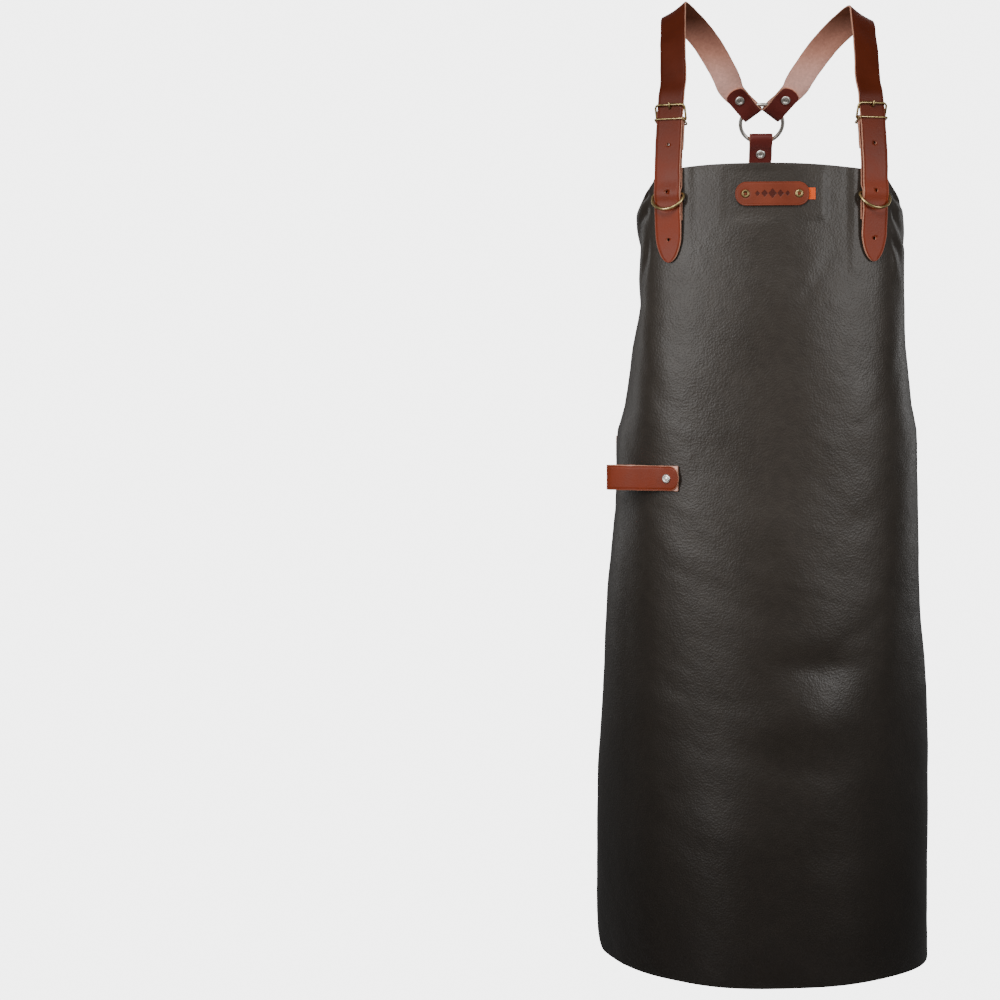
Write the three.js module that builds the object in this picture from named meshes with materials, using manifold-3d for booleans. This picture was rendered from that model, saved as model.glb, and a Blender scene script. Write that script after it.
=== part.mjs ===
// A full-length leather butcher apron on its cross-back strap harness, as it hangs when worn.
// Millimetres, +Z up, the front of the apron faces -Y, and the origin lies midway between the
// two places where the shoulder straps cross the shoulders.
import * as THREE from "three";
import { mergeVertices } from "three/addons/utils/BufferGeometryUtils.js";
import Module from "manifold-3d";

// ---- driving dimensions -------------------------------------------------------------------
const GAP = 0.3; // between pieces that touch
const CAP_GAP = 0.8; // under a flat rivet cap on bent leather

const BIB_TOP_Z = -203;
const PANEL_LENGTH = 1000;
const PANEL_THICKNESS = 2;
const PANEL_COLUMNS = 26;
const PANEL_ROWS = 22;
const ROW_CROWDING = 1.4; // rows lie closer together near the bib's top
const HEM_CORNER = 40;
// Half the flat width of the panel against the distance below the bib's top edge.
const PANEL_OUTLINE = [
  [0, 146],
  [8, 150],
  [45, 180],
  [130, 232],
  [250, 296],
  [340, 330],
  [PANEL_LENGTH, 330],
];
// The body's form at some heights: distance below the bib's top edge, Y of the front's middle,
// radius of the front, flat distance from the middle to where the side begins, radius of the side.
const FORM = [
  [-100, -95, 310, 135, 70],
  [0, -110, 310, 135, 70],
  [170, -118, 290, 131, 75],
  [325, -121.5, 300, 121, 119],
  [380, -122, 300, 120, 120],
  [770, -140, 215, 100, 215],
  [PANEL_LENGTH, -152, 215, 100, 215],
];

const STRAP_WIDTH = 34;
const STRAP_THICKNESS = 2.8;
const SHORT_STRAP_THICKNESS = 2.2;
const BACK_STRAP_WIDTH = 30;
const CHEST_STRAP_U = 127; // flat distance of a shoulder strap from the panel's middle
const CHEST_STRAP_LEAN = 0.05; // how much nearer the straps get per millimetre above the bib
const STRAP_TIP_V = 117;
const STRAP_HOLES_V = [89, 31, -27];
const STRAP_HOLE_RADIUS = 2;
const SHORT_STRAP_END_V = 66;

const D_RING_V = 33;
const D_RING_WIRE = 1.8;
const D_RING_HALF_WIDTH = 20.3;
const D_RING_DEPTH = 24;
const D_RING_TILT = THREE.MathUtils.degToRad(38);
const D_RING_N = PANEL_THICKNESS / 2 + GAP + D_RING_WIRE;

const HEEL_V = -57.5; // the shoulder buckles' heel bars
const HEEL_DROP = 1.25; // how far the heel bar lies inside the short strap's middle
const BUCKLE_WIRE = 1.4;
const BUCKLE_HALF_WIDTH = 19.2;
const BUCKLE_LENGTH = 20.5; // between the middles of the heel bar and the front bar
const BUCKLE_TILT = THREE.MathUtils.degToRad(24);
const BUCKLE_FLAP = 37; // from the heel bar to the end of the turned-back short strap
const BUCKLE_RIVET = 28; // from the heel bar to the rivet that closes the turn
const TONGUE_RADIUS = 1.3;
const TONGUE_SLOT = [8.8, 18.8]; // stretch of the frame where the tongue goes through the strap
const KEEPER_WIRE = 1.1;
const KEEPER_HALF_WIDTH = 18.9;
const KEEPER_DEPTH = 15.8;
const KEEPER_TILT = THREE.MathUtils.degToRad(25);

const RING_CENTRE = new THREE.Vector3(0, 113, -133);
const RING_RADIUS = 27.5;
const RING_WIRE = 2.5;
const RING_TILT = THREE.MathUtils.degToRad(33);
const RING_STRAP_ANGLE = THREE.MathUtils.degToRad(40);
const SHOULDER_TURN = { rivet: 46, flap: 62 }; // from the ring's centre along the strap
const CENTRE_TURN = { rivet: 43, flap: 66 };
const RING_RIVET_RADIUS = 6.2;

const WAIST_V = 350;
const WAIST_STRAP_WIDTH = 30;
const WAIST_BACK_Y = 141;
const WAIST_ANCHOR_U = 292;
const WAIST_ANCHOR_RIVET = 18; // from the waist line's end to the rivet on the panel
const WAIST_HEEL = 118; // from the waist line's left-hand end to the buckle's heel bar
const WAIST_HOLES = [88, 63]; // from the waist line's left-hand end
const BACK_LOOP_RIVET_Z = -520;

const RIVET_CAP_RADIUS = 4.6;
const RIVET_CAP_HEIGHT = 1.8;
const RIVET_POST_RADIUS = 1.5;
const RIVET_SIDES = 8;

const PATCH_V = 35;
const PATCH_WIDTH = 89;
const PATCH_HEIGHT = 29;
const PATCH_THICKNESS = 2;
const PATCH_RIVET_U = 32;
const TAG_THICKNESS = 0.6;

const LOOP_V = 382;
const LOOP_U = -128.6;
const LOOP_HEIGHT = 31;
const LOOP_THICKNESS = 2.4;
const LOOP_REACH = 80; // from the rivet to the fold
const LOOP_GAPE = 5.6; // half the distance between the two layers at the fold
const LOOP_RIVET_RADIUS = 5.6;

const LEATHER = { color: 0x3a332e, roughness: 0.55, metalness: 0 };
const STRAP_LEATHER = { color: 0x7a3826, roughness: 0.5, metalness: 0 };
const BRASS = { color: 0x9a8550, roughness: 0.3, metalness: 1 };
const NICKEL = { color: 0xa9a9a7, roughness: 0.3, metalness: 1 };
const WEBBING = { color: 0xff5a10, roughness: 0.8, metalness: 0 };

const UP = new THREE.Vector3(0, 0, 1);
const wasm = await Module();
wasm.setup();

// ---- solids -------------------------------------------------------------------------------
function solidOf(geometry) {
  const bare = geometry.clone();
  bare.deleteAttribute("normal");
  bare.deleteAttribute("uv");
  const merged = mergeVertices(bare, 1e-4);
  const vertProperties = new Float32Array(merged.attributes.position.array);
  const triVerts = new Uint32Array(merged.index.array);
  return new wasm.Manifold(new wasm.Mesh({ numProp: 3, vertProperties, triVerts }));
}

function geometryOf(solid) {
  const { vertProperties, triVerts } = solid.getMesh();
  const geometry = new THREE.BufferGeometry();
  geometry.setAttribute("position", new THREE.BufferAttribute(vertProperties, 3));
  geometry.setIndex(new THREE.BufferAttribute(triVerts, 1));
  geometry.computeVertexNormals();
  return geometry;
}

const group = new THREE.Group();
const leather = new Map(); // bent pieces, kept as solids until every hole is cut

function addMesh(name, geometry, look, place = new THREE.Matrix4()) {
  const mesh = new THREE.Mesh(geometry, new THREE.MeshStandardMaterial(look));
  mesh.name = name;
  mesh.applyMatrix4(place);
  group.add(mesh);
}

function addLeather(name, geometry, look = STRAP_LEATHER) {
  leather.set(name, { solid: solidOf(geometry), look });
}

function cut(name, cutter, place) {
  const piece = leather.get(name);
  piece.solid = piece.solid.subtract(solidOf(cutter.clone().applyMatrix4(place)));
}

// ---- the form that the leather lies on ----------------------------------------------------
function between(table, at) {
  const last = table.length - 1;
  const row = table.findIndex((entry, i) => i === last - 1 || at < table[i + 1][0]);
  const share = THREE.MathUtils.clamp(
    (at - table[row][0]) / (table[row + 1][0] - table[row][0]),
    0,
    1,
  );
  return table[row].map((value, i) => THREE.MathUtils.lerp(value, table[row + 1][i], share));
}

// The place of flat point (u, v) of the panel, n outside its middle surface: u to the right of the
// middle, v below the bib's top edge. `across` points along u and `out` away from the wearer.
function drape(u, v, n = 0) {
  const [, front, frontRadius, sideStart, sideRadius] = between(FORM, v);
  const side = Math.sign(u) || 1;
  const turn = Math.min(Math.abs(u), sideStart) / frontRadius;
  const angle = turn + Math.max(Math.abs(u) - sideStart, 0) / sideRadius;
  const x = frontRadius * Math.sin(turn) + sideRadius * (Math.sin(angle) - Math.sin(turn));
  const depth =
    frontRadius * (1 - Math.cos(turn)) + sideRadius * (Math.cos(turn) - Math.cos(angle));
  const out = new THREE.Vector3(side * Math.sin(angle), -Math.cos(angle), 0);
  const across = new THREE.Vector3(Math.cos(angle), side * Math.sin(angle), 0);
  const point = new THREE.Vector3(side * x, front + depth, BIB_TOP_Z - v).addScaledVector(out, n);
  return { point, across, out };
}

function panelHalfWidth(v) {
  const corner = Math.max(v - (PANEL_LENGTH - HEM_CORNER), 0);
  const inset = HEM_CORNER - Math.sqrt(HEM_CORNER ** 2 - corner ** 2);
  return between(PANEL_OUTLINE, v)[1] - inset;
}

// ---- straps -------------------------------------------------------------------------------
// Stations along a smooth route through `keys`, each a place and the direction of the width.
function stationsAlong(keys, step) {
  const route = new THREE.CatmullRomCurve3(
    keys.map((key) => key.point),
    false,
    "centripetal",
  );
  const spans = keys.length - 1;
  const stations = [];
  for (let span = 0; span < spans; span++) {
    const length = keys[span].point.distanceTo(keys[span + 1].point);
    const pieces = Math.max(1, Math.round(length / step));
    for (let i = 0; i < pieces; i++) {
      const share = i / pieces;
      stations.push({
        point: route.getPoint((span + share) / spans),
        across: keys[span].across.clone().lerp(keys[span + 1].across, share),
      });
    }
  }
  stations.push({ point: keys[spans].point, across: keys[spans].across });
  return stations;
}

// A closed band of the given section bent along its stations. `share` narrows a station.
function band(stations, width, thickness, share = () => 1) {
  const last = stations.length - 1;
  const geometry = new THREE.BoxGeometry(width, thickness, last, 1, 1, last);
  const position = geometry.attributes.position;
  let length = 0;
  const frames = stations.map(({ point, across }, i) => {
    const before = stations[Math.max(i - 1, 0)].point;
    const after = stations[Math.min(i + 1, last)].point;
    length += point.distanceTo(before);
    const along = after.clone().sub(before).normalize();
    const wide = across.clone().addScaledVector(along, -across.dot(along)).normalize();
    return { point, wide, thick: along.clone().cross(wide), at: length };
  });
  for (let i = 0; i < position.count; i++) {
    const frame = frames[Math.round(position.getZ(i) + last / 2)];
    const spot = frame.point
      .clone()
      .addScaledVector(frame.wide, position.getX(i) * share(frame.at, length))
      .addScaledVector(frame.thick, position.getY(i));
    position.setXYZ(i, spot.x, spot.y, spot.z);
  }
  return geometry;
}

// Narrows the last stretch of a band of half-width r to a round end.
const roundEnd = (r) => (at, length) => {
  const past = Math.max(r - (length - at), 0) / r;
  return Math.max(Math.sqrt(1 - past * past), 0.3);
};
const roundStart = (r) => (at) => Math.max(Math.sqrt(1 - (Math.max(r - at, 0) / r) ** 2), 0.3);

// Places (s, n) on a line: a function that gives the place, width direction and outside there.
const keysOn = (line, spots) => spots.map(([s, n]) => line(s, n));

// Spots on an arc round (s, n), from one angle to another, in steps of an eighth of a turn.
function arcSpots(s, n, radius, from, to) {
  const steps = Math.round(Math.abs(to - from) / (Math.PI / 4));
  return Array.from({ length: steps + 1 }, (_, i) => {
    const angle = from + ((to - from) * i) / steps;
    return [s + radius * Math.cos(angle), n + radius * Math.sin(angle)];
  });
}

// ---- wire and rivets ----------------------------------------------------------------------
// A closed wire of the given radius along a closed flat outline.
function wireLoop(outline, radius, stations, sides = 6) {
  const geometry = new THREE.TorusGeometry(10 * radius, radius, sides, stations);
  const position = geometry.attributes.position;
  for (let i = 0; i < position.count; i++) {
    const [x, y, z] = [position.getX(i), position.getY(i), position.getZ(i)];
    const station = Math.round((Math.atan2(y, x) / (2 * Math.PI) + 1) * stations) % stations;
    const at = outline.getPointAt(station / stations);
    const along = outline.getTangentAt(station / stations);
    const aside = Math.hypot(x, y) - 10 * radius;
    position.setXYZ(i, at.x + along.y * aside, at.y - along.x * aside, z);
  }
  return geometry;
}

// A round wire with flat ends along an open route of points.
function wire(points, radius, steps) {
  const section = new THREE.Shape().absarc(0, 0, radius, 0, 2 * Math.PI);
  const extrudePath = new THREE.CatmullRomCurve3(points, false, "centripetal");
  return new THREE.ExtrudeGeometry(section, { steps, extrudePath, curveSegments: 3 });
}

function basis(x, y, at) {
  const z = x.clone().cross(y).normalize();
  return new THREE.Matrix4().makeBasis(x, y.clone().normalize(), z).setPosition(at);
}

// Turns a lathe piece's axis, +Y, to point along `out` at a point.
function facing(out, at) {
  const turn = new THREE.Quaternion().setFromUnitVectors(new THREE.Vector3(0, 1, 0), out);
  return new THREE.Matrix4().makeRotationFromQuaternion(turn).setPosition(at);
}

const lathe = (profile) =>
  new THREE.LatheGeometry(
    profile.map(([r, y]) => new THREE.Vector2(r, y)),
    RIVET_SIDES,
  );

// A two-part rivet through the named pieces. `grip` is how far the leather reaches behind and in
// front of `at`; the cap in front carries the post and the cap behind closes it.
function rivet(name, { point, out }, grip, names, look = NICKEL, capRadius = RIVET_CAP_RADIUS) {
  const [back, front] = [grip[0] - CAP_GAP, grip[1] + CAP_GAP];
  const place = facing(out, point);
  const rim = 0.6;
  addMesh(
    `${name}_cap`,
    lathe([
      [0, back + GAP],
      [RIVET_POST_RADIUS, back + GAP],
      [RIVET_POST_RADIUS, front],
      [capRadius, front],
      [capRadius, front + rim],
      [capRadius * 0.6, front + RIVET_CAP_HEIGHT * 0.9],
      [0, front + RIVET_CAP_HEIGHT],
    ]),
    look,
    place,
  );
  addMesh(
    `${name}_back_cap`,
    lathe([
      [0, back - RIVET_CAP_HEIGHT],
      [capRadius * 0.6, back - RIVET_CAP_HEIGHT * 0.9],
      [capRadius, back - rim],
      [capRadius, back],
      [0, back],
    ]),
    look,
    place,
  );
  const hole = new THREE.CylinderGeometry(
    RIVET_POST_RADIUS + GAP,
    RIVET_POST_RADIUS + GAP,
    front - back + 4,
    RIVET_SIDES,
  ).translate(0, (front + back) / 2, 0);
  names.forEach((piece) => cut(piece, hole, place));
}

// A tubular rivet: an open barrel with a wide flange, and a washer that it is rolled over.
function tubularRivet(name, { point, out }, grip, names) {
  const [back, front] = [grip[0] - CAP_GAP, grip[1] + CAP_GAP];
  const place = facing(out, point);
  const [bore, barrel, flange, height] = [1.5, 2.5, 5, 1.4];
  const tube = [
    [bore, back],
    [barrel, back],
    [barrel, front],
    [flange, front],
    [flange * 0.85, front + height],
    [barrel, front + height],
    [bore, front + height * 0.6],
    [bore, back],
  ];
  const washer = [
    [barrel + GAP, back - 1],
    [flange, back - 1],
    [flange, back],
    [barrel + GAP, back],
    [barrel + GAP, back - 1],
  ];
  addMesh(name, lathe(tube), BRASS, place);
  addMesh(`${name}_washer`, lathe(washer), BRASS, place);
  const hole = new THREE.CylinderGeometry(barrel + GAP, barrel + GAP, front - back + 4, RIVET_SIDES);
  names.forEach((piece) => cut(piece, hole.clone().translate(0, (front + back) / 2, 0), place));
}

// ---- the panel ----------------------------------------------------------------------------
function makePanel() {
  const flat = [2, PANEL_LENGTH, PANEL_THICKNESS, PANEL_COLUMNS, PANEL_ROWS, 1];
  const geometry = new THREE.BoxGeometry(...flat);
  const position = geometry.attributes.position;
  for (let i = 0; i < position.count; i++) {
    const v = PANEL_LENGTH * (0.5 - position.getY(i) / PANEL_LENGTH) ** ROW_CROWDING;
    const { point } = drape(position.getX(i) * panelHalfWidth(v), v, position.getZ(i));
    position.setXYZ(i, point.x, point.y, point.z);
  }
  addLeather("apron_panel", geometry, LEATHER);
}

// ---- a buckle on a line -------------------------------------------------------------------
const backOf = (thickness) => thickness / 2 + GAP;

// The turned end of a short strap: round the heel bar and back on the wearer's side.
function foldSpots(heel, n) {
  const layer = SHORT_STRAP_THICKNESS + GAP;
  const radius = BUCKLE_WIRE + 1.6 * GAP + SHORT_STRAP_THICKNESS / 2;
  const spots = arcSpots(heel, n - HEEL_DROP, radius, Math.PI / 2, (3 * Math.PI) / 2);
  return [
    [heel + 14, n],
    [heel + 9, n + 0.2],
    ...spots,
    [heel + 9, n - layer - 0.2],
    [heel + 14, n - layer],
    [heel + BUCKLE_FLAP, n - layer],
  ];
}

function frameOutline(half) {
  const [heelCorner, frontCorner] = [2, 5];
  const length = BUCKLE_LENGTH;
  const path = new THREE.Path();
  path.moveTo(0, 0);
  path.lineTo(half - heelCorner, 0);
  path.absarc(half - heelCorner, heelCorner, heelCorner, -Math.PI / 2, 0);
  path.lineTo(half, length - frontCorner);
  path.absarc(half - frontCorner, length - frontCorner, frontCorner, 0, Math.PI / 2);
  path.lineTo(frontCorner - half, length);
  path.absarc(frontCorner - half, length - frontCorner, frontCorner, Math.PI / 2, Math.PI);
  path.lineTo(-half, heelCorner);
  path.absarc(heelCorner - half, heelCorner, heelCorner, Math.PI, (3 * Math.PI) / 2);
  path.lineTo(0, 0);
  return path;
}

function roundedRectangle(halfWidth, halfDepth, corner) {
  const path = new THREE.Path();
  path.moveTo(0, -halfDepth);
  path.lineTo(halfWidth - corner, -halfDepth);
  path.absarc(halfWidth - corner, corner - halfDepth, corner, -Math.PI / 2, 0);
  path.absarc(halfWidth - corner, halfDepth - corner, corner, 0, Math.PI / 2);
  path.absarc(corner - halfWidth, halfDepth - corner, corner, Math.PI / 2, Math.PI);
  path.absarc(corner - halfWidth, corner - halfDepth, corner, Math.PI, (3 * Math.PI) / 2);
  path.lineTo(0, -halfDepth);
  return path;
}

// Frame, tongue and keeper of one buckle, with the slots in both straps and the closing rivet.
// On `line`, s grows from the front bar towards the heel bar and on along the short strap.
function makeBuckle(name, line, heel, longStrap, shortStrap, shortN, narrow = 0) {
  const hinge = line(heel, shortN - HEEL_DROP);
  const down = line(heel + 1, shortN - HEEL_DROP).point.sub(hinge.point).normalize();
  const tilted = down
    .clone()
    .multiplyScalar(-Math.cos(BUCKLE_TILT))
    .addScaledVector(hinge.out, Math.sin(BUCKLE_TILT));
  const place = basis(hinge.across, tilted, hinge.point);
  const frame = wireLoop(frameOutline(BUCKLE_HALF_WIDTH - narrow), BUCKLE_WIRE, 30);
  addMesh(`${name}_frame`, frame, BRASS, place);

  const hook = BUCKLE_WIRE + GAP + TONGUE_RADIUS;
  const route = [
    ...arcSpots(0, 0, hook, Math.PI / 2, (3 * Math.PI) / 2),
    [6, -hook],
    [11, -hook],
    [14, -hook * 0.6],
    [17.5, hook * 0.75],
    [BUCKLE_LENGTH, hook + 0.1],
    [BUCKLE_LENGTH + 3.6, hook + 0.1],
  ];
  const points = route.map(([y, z]) => new THREE.Vector3(0, y, z));
  addMesh(`${name}_tongue`, wire(points, TONGUE_RADIUS, 18), BRASS, place);

  const slotWidth = 2 * (TONGUE_RADIUS + GAP + 0.2);
  const heelSlot = new THREE.BoxGeometry(slotWidth, 13, 13);
  cut(shortStrap, heelSlot, place);
  const [from, to] = TONGUE_SLOT;
  const strapSlot = new THREE.BoxGeometry(slotWidth, to - from, 16);
  strapSlot.translate(0, (from + to) / 2, 0);
  cut(longStrap, strapSlot, place);

  const keeperAt = line(heel + 2.2, shortN + 0.8);
  const keeperUp = keeperAt.out
    .clone()
    .multiplyScalar(Math.cos(KEEPER_TILT))
    .addScaledVector(down, -Math.sin(KEEPER_TILT));
  const keeperOutline = roundedRectangle(KEEPER_HALF_WIDTH - narrow, KEEPER_DEPTH / 2, 2.4);
  const keeper = wireLoop(keeperOutline, KEEPER_WIRE, 26);
  addMesh(`${name}_keeper`, keeper, BRASS, basis(keeperAt.across, keeperUp, keeperAt.point));

  const layer = SHORT_STRAP_THICKNESS + GAP;
  const half = SHORT_STRAP_THICKNESS / 2;
  const grip = [-layer - half, half];
  rivet(`${name}_rivet`, line(heel + BUCKLE_RIVET, shortN), grip, [shortStrap]);
}

// ---- one shoulder: long strap, short strap, D-ring, buckle ---------------------------------
const ringUp = new THREE.Vector3(0, -Math.sin(RING_TILT), Math.cos(RING_TILT));
const ringOut = new THREE.Vector3(0, Math.cos(RING_TILT), Math.sin(RING_TILT));

// Keys of a strap end turned round the ring: flap on the wearer's side, then the outer layer.
// `away` points from the ring's centre along the strap.
function ringKeys(away, across, turn) {
  const spread = RING_WIRE + GAP + STRAP_THICKNESS / 2;
  const pinch = STRAP_THICKNESS / 2 + GAP / 2;
  const inside = Math.sqrt(RING_RADIUS ** 2 - (STRAP_WIDTH / 2) ** 2) - 1;
  const outside = RING_RADIUS + RING_WIRE;
  const spots = [
    [turn.flap, -pinch],
    [turn.rivet, -pinch],
    [turn.rivet - 5, -pinch - 0.3],
    [outside, -spread + 0.2],
    ...arcSpots(inside, 0, spread, (3 * Math.PI) / 2, Math.PI / 2),
    [outside, spread - 0.2],
    [turn.rivet - 5, pinch + 0.3],
    [turn.rivet, pinch],
    [turn.flap, pinch],
  ];
  return spots.map(([t, n]) => ({
    point: RING_CENTRE.clone().addScaledVector(away, t).addScaledVector(ringOut, n),
    across,
    out: ringOut,
  }));
}

function ringRivet(name, point, grip, strap) {
  const place = { point, out: ringOut };
  rivet(`ring_rivet_${name}`, place, grip, [strap], NICKEL, RING_RIVET_RADIUS);
}

// A strap is skived narrower where it turns round the ring.
const ringNarrowing = (at) => 0.74 + 0.26 * THREE.MathUtils.smoothstep(at, 60, 105);

// The long strap's route between the ring and the chest, with its width's direction.
const SHOULDER_ROUTE = [
  [-50, 73, -72, 0.81, -0.26, 0.53],
  [-75, 48, -33, 0.82, -0.14, 0.56],
  [-97, 26, -11, 0.82, -0.06, 0.57],
  [-115, 0, 0, 0.82, 0, 0.57],
  [-118.5, -30, -31, 0.85, -0.2, 0.42],
  [-119, -52, -66, 0.89, -0.32, 0.22],
  [-119, -68, -97, 0.92, -0.38, 0.06],
];

function makeShoulder(side, name) {
  const line = (v, n) => {
    const lean = Math.max(-v, 0) * CHEST_STRAP_LEAN;
    return drape(side * (CHEST_STRAP_U - lean), v, n);
  };
  const away = ringUp
    .clone()
    .multiplyScalar(Math.cos(RING_STRAP_ANGLE))
    .addScaledVector(new THREE.Vector3(side, 0, 0), Math.sin(RING_STRAP_ANGLE));
  const across = away.clone().cross(ringOut).multiplyScalar(-side).normalize();
  const outward = across.x > 0 ? across : across.clone().negate();
  const overShoulder = SHOULDER_ROUTE.map(([x, y, z, wx, wy, wz]) => ({
    point: new THREE.Vector3(-side * x, y, z),
    across: new THREE.Vector3(wx, side * -wy, side * -wz),
  }));
  const onChest = keysOn(line, [
    [-90, 4.9],
    [-76.2, 5.9],
    [HEEL_V, 7.4],
    [HEEL_V + BUCKLE_RIVET, 8.1],
    [0, 7.6],
    [17, 7.8],
    [D_RING_V, 9.8],
    [42, 7.9],
    [47, 7.4],
    [54, 7.8],
    [66, 6.6],
    [90, 4.8],
    [STRAP_TIP_V, 4.2],
  ]);
  const longStrap = `shoulder_strap_${name}`;
  const longKeys = [...ringKeys(away, outward, SHOULDER_TURN), ...overShoulder, ...onChest];
  const flapEnd = roundStart(STRAP_WIDTH / 2);
  const tipEnd = roundEnd(STRAP_WIDTH / 4);
  const shape = (at, length) => flapEnd(at) * tipEnd(at, length) * ringNarrowing(at);
  addLeather(longStrap, band(stationsAlong(longKeys, 12), STRAP_WIDTH, STRAP_THICKNESS, shape));
  const hole = new THREE.CylinderGeometry(STRAP_HOLE_RADIUS, STRAP_HOLE_RADIUS, 10, RIVET_SIDES);
  for (const v of STRAP_HOLES_V) {
    const { point, out } = line(v, 8);
    cut(longStrap, hole, facing(out, point));
  }

  const flat = PANEL_THICKNESS / 2 + backOf(SHORT_STRAP_THICKNESS);
  const hump = D_RING_N + D_RING_WIRE + GAP + backOf(SHORT_STRAP_THICKNESS);
  const shortStrap = `buckle_strap_${name}`;
  const shortKeys = keysOn(line, [
    [SHORT_STRAP_END_V, flat],
    [D_RING_V + 12, flat],
    [D_RING_V + 8, flat + 0.6],
    [D_RING_V + 3, hump - 0.4],
    [D_RING_V, hump],
    [D_RING_V - 3, hump - 0.4],
    [D_RING_V - 8, flat + 0.6],
    [D_RING_V - 12, flat],
    [0, flat],
    ...foldSpots(HEEL_V, flat),
  ]);
  addLeather(shortStrap, band(stationsAlong(shortKeys, 14), STRAP_WIDTH, SHORT_STRAP_THICKNESS));

  makeBuckle(`buckle_${name}`, line, HEEL_V, longStrap, shortStrap, flat);

  const grip = [-PANEL_THICKNESS / 2, flat + SHORT_STRAP_THICKNESS / 2];
  rivet(`bib_upper_rivet_${name}`, line(D_RING_V - 17, 0), grip, [shortStrap, "apron_panel"]);
  rivet(`bib_lower_rivet_${name}`, line(D_RING_V + 20, 0), grip, [shortStrap, "apron_panel"]);

  const ringGrip = [-STRAP_THICKNESS - GAP / 2, STRAP_THICKNESS + GAP / 2];
  const ringSpot = RING_CENTRE.clone().addScaledVector(away, SHOULDER_TURN.rivet);
  ringRivet(name, ringSpot, ringGrip, longStrap);

  const hinge = line(D_RING_V, D_RING_N);
  const arcWay = hinge.out
    .clone()
    .multiplyScalar(Math.sin(D_RING_TILT))
    .addScaledVector(UP, -Math.cos(D_RING_TILT));
  const corner = 4;
  const half = D_RING_HALF_WIDTH;
  const outline = new THREE.Path();
  outline.moveTo(0, 0);
  outline.lineTo(half - corner, 0);
  outline.absarc(half - corner, corner, corner, -Math.PI / 2, 0);
  outline.absellipse(0, corner, half, D_RING_DEPTH - corner, 0, Math.PI);
  outline.absarc(corner - half, corner, corner, Math.PI, (3 * Math.PI) / 2);
  outline.lineTo(0, 0);
  const ring = wireLoop(outline, D_RING_WIRE, 28);
  addMesh(`d_ring_${name}`, ring, BRASS, basis(hinge.across, arcWay, hinge.point));
}

// ---- the back: O-ring, centre strap, waist harness ------------------------------------------
const waistZ = BIB_TOP_Z - WAIST_V;
const waistLayer = PANEL_THICKNESS / 2 + 2 + STRAP_THICKNESS / 2;

// Half of the waist line, from the panel's side edge to the middle of the back.
function waistHalf(side) {
  const onPanel = [WAIST_ANCHOR_U, 304, 318, 330].map(
    (u) => drape(side * u, WAIST_V, waistLayer).point,
  );
  const behind = [
    [147, 101],
    [118, 121],
    [80, 133],
    [40, 139],
  ].map(([x, y]) => new THREE.Vector3(side * x, y, waistZ));
  return [...onPanel, ...behind];
}

const waistCurve = new THREE.CatmullRomCurve3(
  [
    ...waistHalf(1),
    new THREE.Vector3(0, WAIST_BACK_Y, waistZ),
    ...waistHalf(-1).reverse(),
  ],
  false,
  "centripetal",
);
waistCurve.arcLengthDivisions = 1200;
const waistLength = waistCurve.getLength();

// The waist line by distance from its right-hand end; past its left-hand end it runs on straight.
function waistLine(s, n) {
  const along = waistCurve.getTangentAt(THREE.MathUtils.clamp(s / waistLength, 0, 1));
  const point = waistCurve.getPointAt(THREE.MathUtils.clamp(s / waistLength, 0, 1));
  const out = UP.clone().cross(along).negate();
  return { point: point.addScaledVector(out, n), across: UP.clone(), out };
}

function makeWaist() {
  const heel = waistLength - WAIST_HEEL;
  const longStrap = "waist_strap";
  const shortStrap = "waist_buckle_strap";
  const longKeys = keysOn(waistLine, [
    [0, 0],
    [30, 0],
    [90, 0],
    [140, 0],
    [190, 0],
    [heel - 60, 0.3],
    [heel - 30, 2],
    [heel - 18.7, 3.5],
    [heel, 5],
    [heel + 28, 5.2],
    [heel + 50, 5.2],
    [heel + 70, 5.4],
    [waistLength - 32, 5.8],
  ]);
  const tip = roundEnd(WAIST_STRAP_WIDTH / 4);
  const longBand = stationsAlong(longKeys, 15);
  addLeather(longStrap, band(longBand, WAIST_STRAP_WIDTH, STRAP_THICKNESS, tip));
  const hole = new THREE.CylinderGeometry(STRAP_HOLE_RADIUS, STRAP_HOLE_RADIUS, 5, RIVET_SIDES);
  for (const back of WAIST_HOLES) {
    const { point, out } = waistLine(waistLength - back, 5.2);
    cut(longStrap, hole, facing(out, point));
  }
  const shortKeys = keysOn(waistLine, [
    [waistLength - 2, 0],
    [waistLength - 36, 0],
    [waistLength - 60, 0],
    ...foldSpots(heel, 0),
  ]);
  const shortBand = stationsAlong(shortKeys, 14);
  addLeather(shortStrap, band(shortBand, WAIST_STRAP_WIDTH, SHORT_STRAP_THICKNESS));
  const narrow = (STRAP_WIDTH - WAIST_STRAP_WIDTH) / 2;
  makeBuckle("waist_buckle", waistLine, heel, longStrap, shortStrap, 0, narrow);

  const behind = -waistLayer - PANEL_THICKNESS / 2 - CAP_GAP;
  const right = waistLine(WAIST_ANCHOR_RIVET, 0);
  rivet("waist_rivet_right", right, [behind, STRAP_THICKNESS / 2], [longStrap, "apron_panel"]);
  const left = waistLine(waistLength - WAIST_ANCHOR_RIVET, 0);
  const leftGrip = [behind, SHORT_STRAP_THICKNESS / 2];
  rivet("waist_rivet_left", left, leftGrip, [shortStrap, "apron_panel"]);
}

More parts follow.
